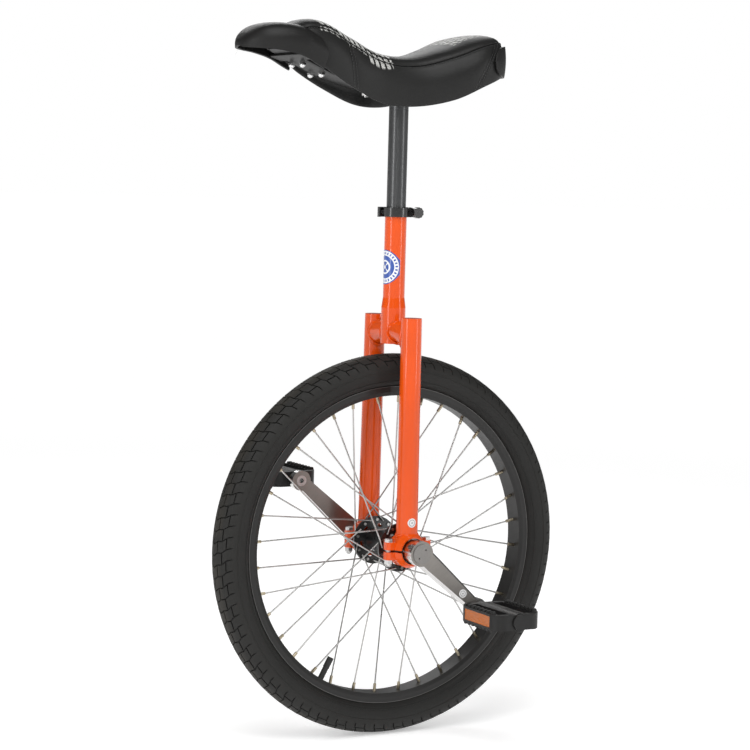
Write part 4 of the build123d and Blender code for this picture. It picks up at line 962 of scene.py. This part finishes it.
def build_cushion(sizes):
    columns = 76
    points = []
    rows = cushion_rows()
    for x, drawn in rows:
        wide, low, top = flow(SADDLE, x)
        floor = max(low + 2.0, base_height(x) + BASE_CLEARANCE)
        centre = Vector((x, 0.0, (floor + top) / 2))
        loop = []
        for k in range(columns + 1):
            t = -1 + 2 * k / columns
            p = skin_point(SADDLE, x, t)
            ahead = skin_point(SADDLE, x, min(1, t + 0.02)) - skin_point(SADDLE, x, max(-1, t - 0.02))
            along = skin_point(SADDLE, min(183, x + 1.5), t) - skin_point(SADDLE, max(-128, x - 1.5), t)
            out = ahead.cross(along).normalized()
            if out.dot(p - centre) < 0:
                out = -out
            grain = noise.noise(p * 0.035) * 0.35
            edge = min(1.0, (1 - abs(t)) / 0.06)
            loop.append(p + out * (seam_dip(x, t, sizes) + grain) * edge * drawn)
        left, right = loop[-1], loop[0]
        skirt = 4.0
        inner = wide * 0.94 - skirt
        roof = min(floor, top - 6.0)
        loop += [Vector((x, left.y - 1.4, low - 0.8)), Vector((x, left.y - 3.4, low - 0.2)),
                 Vector((x, inner, low + 2.0)), Vector((x, inner, (low + roof) / 2)),
                 Vector((x, inner - 0.3, roof))]
        loop += [Vector((x, inner * f, roof)) for f in (0.6, 0.2, -0.2, -0.6)]
        loop += [Vector((x, -inner + 0.3, roof)), Vector((x, -inner, (low + roof) / 2)),
                 Vector((x, -inner, low + 2.0)), Vector((x, right.y + 3.4, low - 0.2)),
                 Vector((x, right.y + 1.4, low - 0.8))]
        centre = Vector((x, 0.0, (roof + top) / 2))
        points += [centre + (p - centre) * drawn for p in loop]
    around = len(points) // len(rows)
    faces = grid_faces(len(rows), around, closed_columns=True)
    cushion = mesh_object("saddle_cover", [p * MM for p in points], faces)
    outwards(cushion, 2e-5)
    modifier(cushion, "SUBSURF", levels=1, render_levels=1)
    solid(cushion)
    seat_piece(cushion, "seat", "saddle_vinyl", replaces=("saddle_cushion",), finished_angle=55.0)


def base_height(x):
    """Top of the saddle's plastic base at x."""
    for (x1, z1), (x2, z2) in zip(BASE_LINE, BASE_LINE[1:]):
        if x <= x2:
            return z1 + (z2 - z1) * (x - x1) / (x2 - x1)
    return BASE_LINE[-1][1] + (x - BASE_LINE[-1][0]) * 0.33


def seam_lines(offset=0.0):
    """The saddle's sewn line round the top panel."""
    lift = 0.25
    lines = []
    edge = []
    spots = [-123.5 + (172.0 + 123.5) * k / 120 for k in range(121)]
    for side in (1, -1):
        run = [skin_point(SADDLE, x, side * (SEAM_AT + offset)) for x in spots]
        edge += run if side > 0 else reversed(run)
        edge = list(edge)
        if side > 0:
            edge += [skin_point(SADDLE, 172.0 + 6 * sin(pi * k / 12), (SEAM_AT + offset) * cos(pi * k / 12))
                     for k in range(1, 12)]
    edge += [skin_point(SADDLE, -123.5 - 3.0 * sin(pi * k / 12), -(SEAM_AT + offset) * cos(pi * k / 12))
             for k in range(1, 12)]
    centre = Vector((20.0, 0.0, 880.0))
    lines.append(([(p + (p - centre).normalized() * lift) * MM for p in edge], True))
    return lines


def upright_lines(offset=0.0):
    lines = []
    for side in (1, -1):
        for which in (0, 1):
            run = []
            for k in range(41):
                t = SEAM_AT + (0.985 - SEAM_AT) * k / 40
                run.append(skin_point(SADDLE, side_seams(t)[which] + offset, side * t))
            lines.append(([(p + Vector((0, side * 0.2, 0))) * MM for p in run], False))
    return lines


def build_seams(sizes):
    piping = along_lines("saddle_piping", "cord", seam_lines(), "saddle_vinyl",
                         Radius=sizes.piping_radius, Step=0.003, Ripple=0.0)
    seat_piece(piping, "seat", "saddle_vinyl")
    rows = seam_lines(0.035) + upright_lines(2.6) + upright_lines(-2.6)
    stitches = along_lines("saddle_stitches", "bead", rows, "saddle_thread",
                           Pitch=sizes.stitch_pitch, Size=(0.00032, 0.00032, 0.0013))
    seat_piece(stitches, "seat", "saddle_vinyl", finish="saddle_thread")


def hood_rear(t):
    """Rear edge of the handle's hood along x, from the crown to its sides."""
    fy = flow(SECTION, abs(t))[0] * 53.0
    return 172.0 - 44.0 * (fy / 56.0) ** 2


def build_handle(sizes):
    columns, rows = 72, 46
    points = []
    for r in range(rows):
        share = r / (rows - 1)
        for c in range(columns + 1):
            t = -1 + 2 * c / columns
            rear = hood_rear(t)
            x = rear + (233.8 - rear) * (1 - (1 - share) ** 1.35)
            points.append(skin_point(HOOD, x, t) * MM)
    hood = mesh_object("handle_hood", points, grid_faces(rows, columns + 1))
    last = (rows - 1) * (columns + 1)
    shape = bmesh.new()
    shape.from_mesh(hood.data)
    shape.verts.ensure_lookup_table()
    shape.faces.new([shape.verts[last + c] for c in range(columns, -1, -1)])
    bmesh.ops.triangulate(shape, faces=[f for f in shape.faces if len(f.verts) > 4])
    bmesh.ops.recalc_face_normals(shape, faces=shape.faces)
    upward = sum(f.normal.z for f in shape.faces)
    if upward < 0:
        bmesh.ops.reverse_faces(shape, faces=shape.faces)
    shape.to_mesh(hood.data)
    shape.free()
    modifier(hood, "SOLIDIFY", thickness=sizes.hood_wall, offset=-1.0, use_even_offset=True)
    solid(hood)
    modifier(hood, "BEVEL", width=0.0011, segments=3, limit_method="ANGLE", angle_limit=radians(50))
    solid(hood)
    seat_piece(hood, "seat", "handle_plastic", replaces=("front_handle",), finished_angle=60.0)

    xs = [108.0, 112.0, 120, 128, 136, 144, 150.0, 154.0, 160, 166.0]
    ys = [-46.0, -36.0, -26.0, -13.0, 0.0, 13.0, 26.0, 36.0, 46.0]
    spots, faces = [], []
    for x in xs:
        spots += [(x * MM, y * MM, (base_height(x) - 3.4) * MM) for y in ys]
    for i in range(len(xs) - 1):
        for j in range(len(ys) - 1):
            if xs[i] >= 150.0 or abs((ys[j] + ys[j + 1]) / 2) < 26.0:
                a = i * len(ys) + j
                faces.append((a, a + len(ys), a + len(ys) + 1, a + 1))
    plate = mesh_object("handle_plate", spots, faces)
    outwards(plate)
    if sum(f.normal.z for f in plate.data.polygons) < 0:
        plate.data.flip_normals()
    modifier(plate, "SOLIDIFY", thickness=0.0031, offset=-1.0)
    solid(plate)
    shape = bmesh.new()
    shape.from_mesh(plate.data)
    bmesh.ops.delete(shape, geom=[v for v in shape.verts if not v.link_faces], context="VERTS")
    shape.to_mesh(plate.data)
    shape.free()
    modifier(plate, "BEVEL", width=0.0009, segments=2, limit_method="ANGLE", angle_limit=radians(50))
    solid(plate)
    seat_piece(plate, "seat", "handle_plastic")


BUMPER_PLAN = (
    (0.0, -93.0, 84.8), (0.13, -104.5, 79.5), (0.25, -115.0, 71.0), (0.38, -125.0, 54.0), (0.5, -130.0, 34.0),
    (0.75, -131.8, 14.0), (1.0, -132.2, 0.0),
)


def build_bumper():
    """Curved plate round the tail with rounded corners."""
    columns, rows = 96, 16
    low, high = 867.0, 908.0
    points = []
    for r in range(rows + 1):
        for c in range(columns + 1):
            u = -1 + 2 * c / columns
            x, y = flow(BUMPER_PLAN, 1 - abs(u))
            y = y if u < 0 else -y
            tall = (1 - abs(u) ** 9) ** 0.5 * 0.5 + 0.0001
            v = -1 + 2 * r / rows
            z = (low + high) / 2 + v * (high - low) * tall
            lean = 1.6 * (1 - v * v)
            away = Vector((x + 40.0, y, 0)).normalized() * lean
            points.append((Vector((x, y, z)) + away) * MM)
    plate = mesh_object("tail_bumper", points, grid_faces(rows + 1, columns + 1))
    outwards(plate, 2e-6)
    outward = sum((f.normal.x * f.center.x + f.normal.y * f.center.y) for f in plate.data.polygons)
    if outward < 0:
        plate.data.flip_normals()
    modifier(plate, "SOLIDIFY", thickness=0.0034, offset=-1.0)
    solid(plate)
    modifier(plate, "BEVEL", width=0.001, segments=3, limit_method="ANGLE", angle_limit=radians(55))
    solid(plate)
    seat_piece(plate, "seat", "saddle_plastic", finish="handle_plastic", replaces=("rear_bumper",),
               finished_angle=50.0)


# ------------------------------------------------------------------ stage
def area_light(name, place, target, size, power, tint=(1, 1, 1)):
    light = bpy.data.lights.new(name, "AREA")
    light.shape = "RECTANGLE"
    light.size, light.size_y = size
    light.energy = power
    light.color = tint
    made = bpy.data.objects.new(name, light)
    made.location = place
    made.rotation_euler = (Vector(target) - Vector(place)).to_track_quat("-Z", "Y").to_euler()
    bpy.context.scene.collection.objects.link(made)


def build_stage(look):
    rings = 48
    points = [(60 * cos(2 * pi * k / rings), 60 * sin(2 * pi * k / rings), 0.0) for k in range(rings)]
    floor = mesh_object("studio_floor", points, [tuple(range(rings))])
    set_finish(floor, "floor_paper")

    world = bpy.context.scene.world or bpy.data.worlds.new("studio")
    bpy.context.scene.world = world
    world.use_nodes = True
    sky = world.node_tree.nodes["Background"]
    rays = world.node_tree.nodes.new("ShaderNodeLightPath")
    level = look.ambient
    for ray, value in (("Is Glossy Ray", look.reflected), ("Is Camera Ray", 1.0)):
        choice = world.node_tree.nodes.new("ShaderNodeMix")
        if isinstance(level, float):
            choice.inputs[2].default_value = level
        else:
            world.node_tree.links.new(level, choice.inputs[2])
        choice.inputs[3].default_value = value
        world.node_tree.links.new(rays.outputs[ray], choice.inputs[0])
        level = choice.outputs[0]
    world.node_tree.links.new(level, sky.inputs[1])
    sky.inputs[0].default_value = (1.0, 1.0, 1.0, 1.0)

    middle = (0.0, 0.0, 0.5)
    area_light("key_softbox", (0.9, 1.5, 3.3), middle, (2.2, 2.2), look.key_power)
    area_light("front_strip", (1.75, 2.6, 2.1), middle, (0.14, 1.3), look.key_power * 0.16)
    area_light("left_strip", (2.9, 0.6, 1.2), middle, (0.5, 2.0), look.key_power * 0.34)
    area_light("right_strip", (-1.9, 2.5, 1.2), middle, (0.45, 2.0), look.key_power * 0.28)
    area_light("back_softbox", (-1.0, -2.6, 2.2), middle, (1.8, 1.0), look.key_power * 0.34)

    lens = bpy.data.cameras.new("studio_camera")
    lens.sensor_width = 36.0
    lens.lens = look.focal_length
    camera = bpy.data.objects.new("studio_camera", lens)
    right = Vector((-0.8733, 0.4865, 0.0268)).normalized()
    back = Vector((0.4869, 0.8692, 0.0865)).normalized()
    up = back.cross(right).normalized()
    right = up.cross(back).normalized()
    turn = Matrix((right, up, back)).transposed().to_4x4()
    camera.matrix_world = Matrix.Translation((1.4944, 2.6233, 0.7376)) @ turn
    bpy.context.scene.collection.objects.link(camera)
    bpy.context.scene.camera = camera
    bpy.context.scene.view_settings.view_transform = "Standard"


# ------------------------------------------------------------------ settings
class UnicycleTyreSizes(bpy.types.PropertyGroup):
    pitches: bpy.props.IntProperty(name="Tread pitches", default=104, min=40, max=160,
                                   description="Tread rows round the tyre, an even number")
    groove_width: bpy.props.FloatProperty(name="Groove width", default=0.0017, unit="LENGTH",
                                          description="Width of the tread's grooves and sipes")
    groove_depth: bpy.props.FloatProperty(name="Groove depth", default=0.0021, unit="LENGTH",
                                          description="Depth of the tread's grooves and sipes")


class UnicycleFrameSizes(bpy.types.PropertyGroup):
    weld_radius: bpy.props.FloatProperty(name="Weld radius", default=0.0019, unit="LENGTH",
                                         description="Radius of the weld beads on the fork")


class UnicycleSaddleSizes(bpy.types.PropertyGroup):
    seam_depth: bpy.props.FloatProperty(name="Seam depth", default=0.0013, unit="LENGTH",
                                        description="How far the seams pull the vinyl in")
    seam_width: bpy.props.FloatProperty(name="Seam width", default=0.0024, unit="LENGTH",
                                        description="Half width of the dip at a seam")
    piping_radius: bpy.props.FloatProperty(name="Piping radius", default=0.0010, unit="LENGTH",
                                           description="Radius of the piping round the top panel")
    stitch_pitch: bpy.props.FloatProperty(name="Stitch pitch", default=0.0036, unit="LENGTH",
                                          description="Distance from stitch to stitch")
    hood_wall: bpy.props.FloatProperty(name="Handle wall", default=0.0034, unit="LENGTH",
                                       description="Wall of the front handle's hood")


class UnicycleColours(bpy.types.PropertyGroup):
    frame: bpy.props.FloatVectorProperty(name="Frame", subtype="COLOR", size=3, default=(0.77, 0.082, 0.003),
                                         description="Enamel of the frame and bearing holders")
    tyre: bpy.props.FloatVectorProperty(name="Tyre", subtype="COLOR", size=3, default=(0.0160, 0.0155, 0.0142),
                                        description="Rubber of the tyre")
    reflector: bpy.props.FloatVectorProperty(name="Reflectors", subtype="COLOR", size=3,
                                             default=(0.46, 0.105, 0.002), description="Lens of the reflectors")
    saddle: bpy.props.FloatVectorProperty(name="Saddle", subtype="COLOR", size=3,
                                          default=(0.0095, 0.0095, 0.0092), description="Vinyl of the saddle")
    saddle_print: bpy.props.FloatVectorProperty(name="Saddle print", subtype="COLOR", size=3,
                                                default=(0.50, 0.50, 0.48),
                                                description="Ink of the printed bands on the saddle")


class UnicycleStage(bpy.types.PropertyGroup):
    focal_length: bpy.props.FloatProperty(name="Focal length", default=110.7, unit="CAMERA",
                                          description="Lens of the studio camera")
    key_power: bpy.props.FloatProperty(name="Key light", default=60.0, unit="POWER",
                                       description="Power of the main softbox")
    reflected: bpy.props.FloatProperty(name="Reflected studio", default=0.10,
                                       description="Brightness of the studio in the gloss of the object")
    ambient: bpy.props.FloatProperty(name="Ambient", default=0.42,
                                     description="Brightness of the surrounding white studio")


# ------------------------------------------------------------------ operators
class UNICYCLE_OT_stage(bpy.types.Operator):
    """Make the pale floor, the soft lights and the camera"""
    bl_idname = "unicycle.stage"
    bl_label = "Studio stage"

    def execute(self, context):
        build_stage(context.scene.unicycle_stage)
        return {"FINISHED"}


class UNICYCLE_OT_tyre(bpy.types.Operator):
    """Make the tyre with its tread, and dress the tube, tape and valve"""
    bl_idname = "unicycle.tyre"
    bl_label = "Tyre"

    def execute(self, context):
        build_tyre(context.scene.unicycle_tyre)
        dress("tube_rubber", "inner_tube", "valve_stem", "valve_cap")
        dress("tape_plastic", "rim_tape")
        return {"FINISHED"}


class UNICYCLE_OT_wheel(bpy.types.Operator):
    """Dress the rim, spokes, hub, axle and bearings"""
    bl_idname = "unicycle.wheel"
    bl_label = "Wheel"

    def execute(self, context):
        dress("rim_black", "rim")
        dress("spoke_steel", "spokes_left", "spokes_right")
        dress("nipple_brass", "spoke_nipples")
        dress("black_paint", "hub_shell")
        dress("machined_steel", "axle", "axle_spacers", "bearing_inner_races", "bearing_outer_races",
              "bearing_balls_left", "bearing_balls_right")
        return {"FINISHED"}


class UNICYCLE_OT_drive(bpy.types.Operator):
    """Dress the cranks, dust caps and pedals"""
    bl_idname = "unicycle.drive"
    bl_label = "Cranks and pedals"

    def execute(self, context):
        dress("crank_steel", "crank_left", "crank_right")
        dress("cap_grey", "dust_caps")
        dress("round_sticker", "crank_badge")
        dress("machined_steel", "crank_bolts", "pedal_spindle_left", "pedal_spindle_right",
              "pedal_lock_nuts")
        dress("pedal_resin", "pedal_body_left", "pedal_body_right", "pedal_end_cap_left",
              "pedal_end_cap_right")
        dress("reflector_amber", "pedal_reflectors_left", "pedal_reflectors_right")
        dress("bush_bronze", "pedal_bushes_left", "pedal_bushes_right")
        return {"FINISHED"}


class UNICYCLE_OT_fork(bpy.types.Operator):
    """Dress the fork and add its weld beads"""
    bl_idname = "unicycle.fork"
    bl_label = "Fork"

    def execute(self, context):
        dress("orange_paint", "seat_tube", "crown_bridge_left", "crown_bridge_right", "fork_leg_left",
              "fork_leg_right", "leg_top_plugs", "bearing_holder_left", "bearing_holder_right",
              "bearing_cap_left", "bearing_cap_right")
        dress("bolt_zinc", "holder_bolts", "holder_nuts")
        dress("badge_white", "frame_badges")
        build_welds(context.scene.unicycle_frame)
        return {"FINISHED"}


class UNICYCLE_OT_clamp(bpy.types.Operator):
    """Dress the seat clamp, its lever and the seat post"""
    bl_idname = "unicycle.clamp"
    bl_label = "Seat clamp and post"

    def execute(self, context):
        dress("black_paint", "clamp_collar", "clamp_lever", "clamp_nut", "clamp_washer")
        dress("machined_steel", "clamp_skewer", "clamp_cam_pin")
        dress("post_gunmetal", "seat_post", "seat_bracket")
        return {"FINISHED"}


class UNICYCLE_OT_saddle(bpy.types.Operator):
    """Make the saddle's cover, seams, handle and bumper, and dress its base and bolts"""
    bl_idname = "unicycle.saddle"
    bl_label = "Saddle"

    def execute(self, context):
        sizes = context.scene.unicycle_saddle
        build_cushion(sizes)
        build_seams(sizes)
        build_handle(sizes)
        build_bumper()
        dress("saddle_plastic", "saddle_base")
        dress("bolt_zinc", "saddle_bolts", "saddle_nuts")
        dress("chrome_nut", "handle_nuts")
        return {"FINISHED"}


OPERATORS = (UNICYCLE_OT_stage, UNICYCLE_OT_tyre, UNICYCLE_OT_wheel, UNICYCLE_OT_drive, UNICYCLE_OT_fork,
             UNICYCLE_OT_clamp, UNICYCLE_OT_saddle)
SETTINGS = {"unicycle_tyre": UnicycleTyreSizes, "unicycle_frame": UnicycleFrameSizes,
            "unicycle_saddle": UnicycleSaddleSizes, "unicycle_colours": UnicycleColours,
            "unicycle_stage": UnicycleStage}


class UNICYCLE_PT_panel(bpy.types.Panel):
    """Sizes, colours and steps of the unicycle"""
    bl_idname = "UNICYCLE_PT_panel"
    bl_label = "Unicycle"
    bl_space_type = "VIEW_3D"
    bl_region_type = "UI"
    bl_category = "Unicycle"

    def draw(self, context):
        for key, group in SETTINGS.items():
            box = self.layout.box()
            for name in group.__annotations__:
                box.prop(getattr(context.scene, key), name)
        for step in OPERATORS:
            self.layout.operator(step.bl_idname)


def register():
    for item in (*SETTINGS.values(), *OPERATORS, UNICYCLE_PT_panel):
        bpy.utils.register_class(item)
    for key, group in SETTINGS.items():
        setattr(bpy.types.Scene, key, bpy.props.PointerProperty(type=group))


def unregister():
    for key in SETTINGS:
        delattr(bpy.types.Scene, key)
    for item in reversed((*SETTINGS.values(), *OPERATORS, UNICYCLE_PT_panel)):
        bpy.utils.unregister_class(item)


def main():
    register()
    for step in OPERATORS:
        group, name = step.bl_idname.split(".")
        getattr(getattr(bpy.ops, group), name)()


if __name__ == "__main__":
    main()
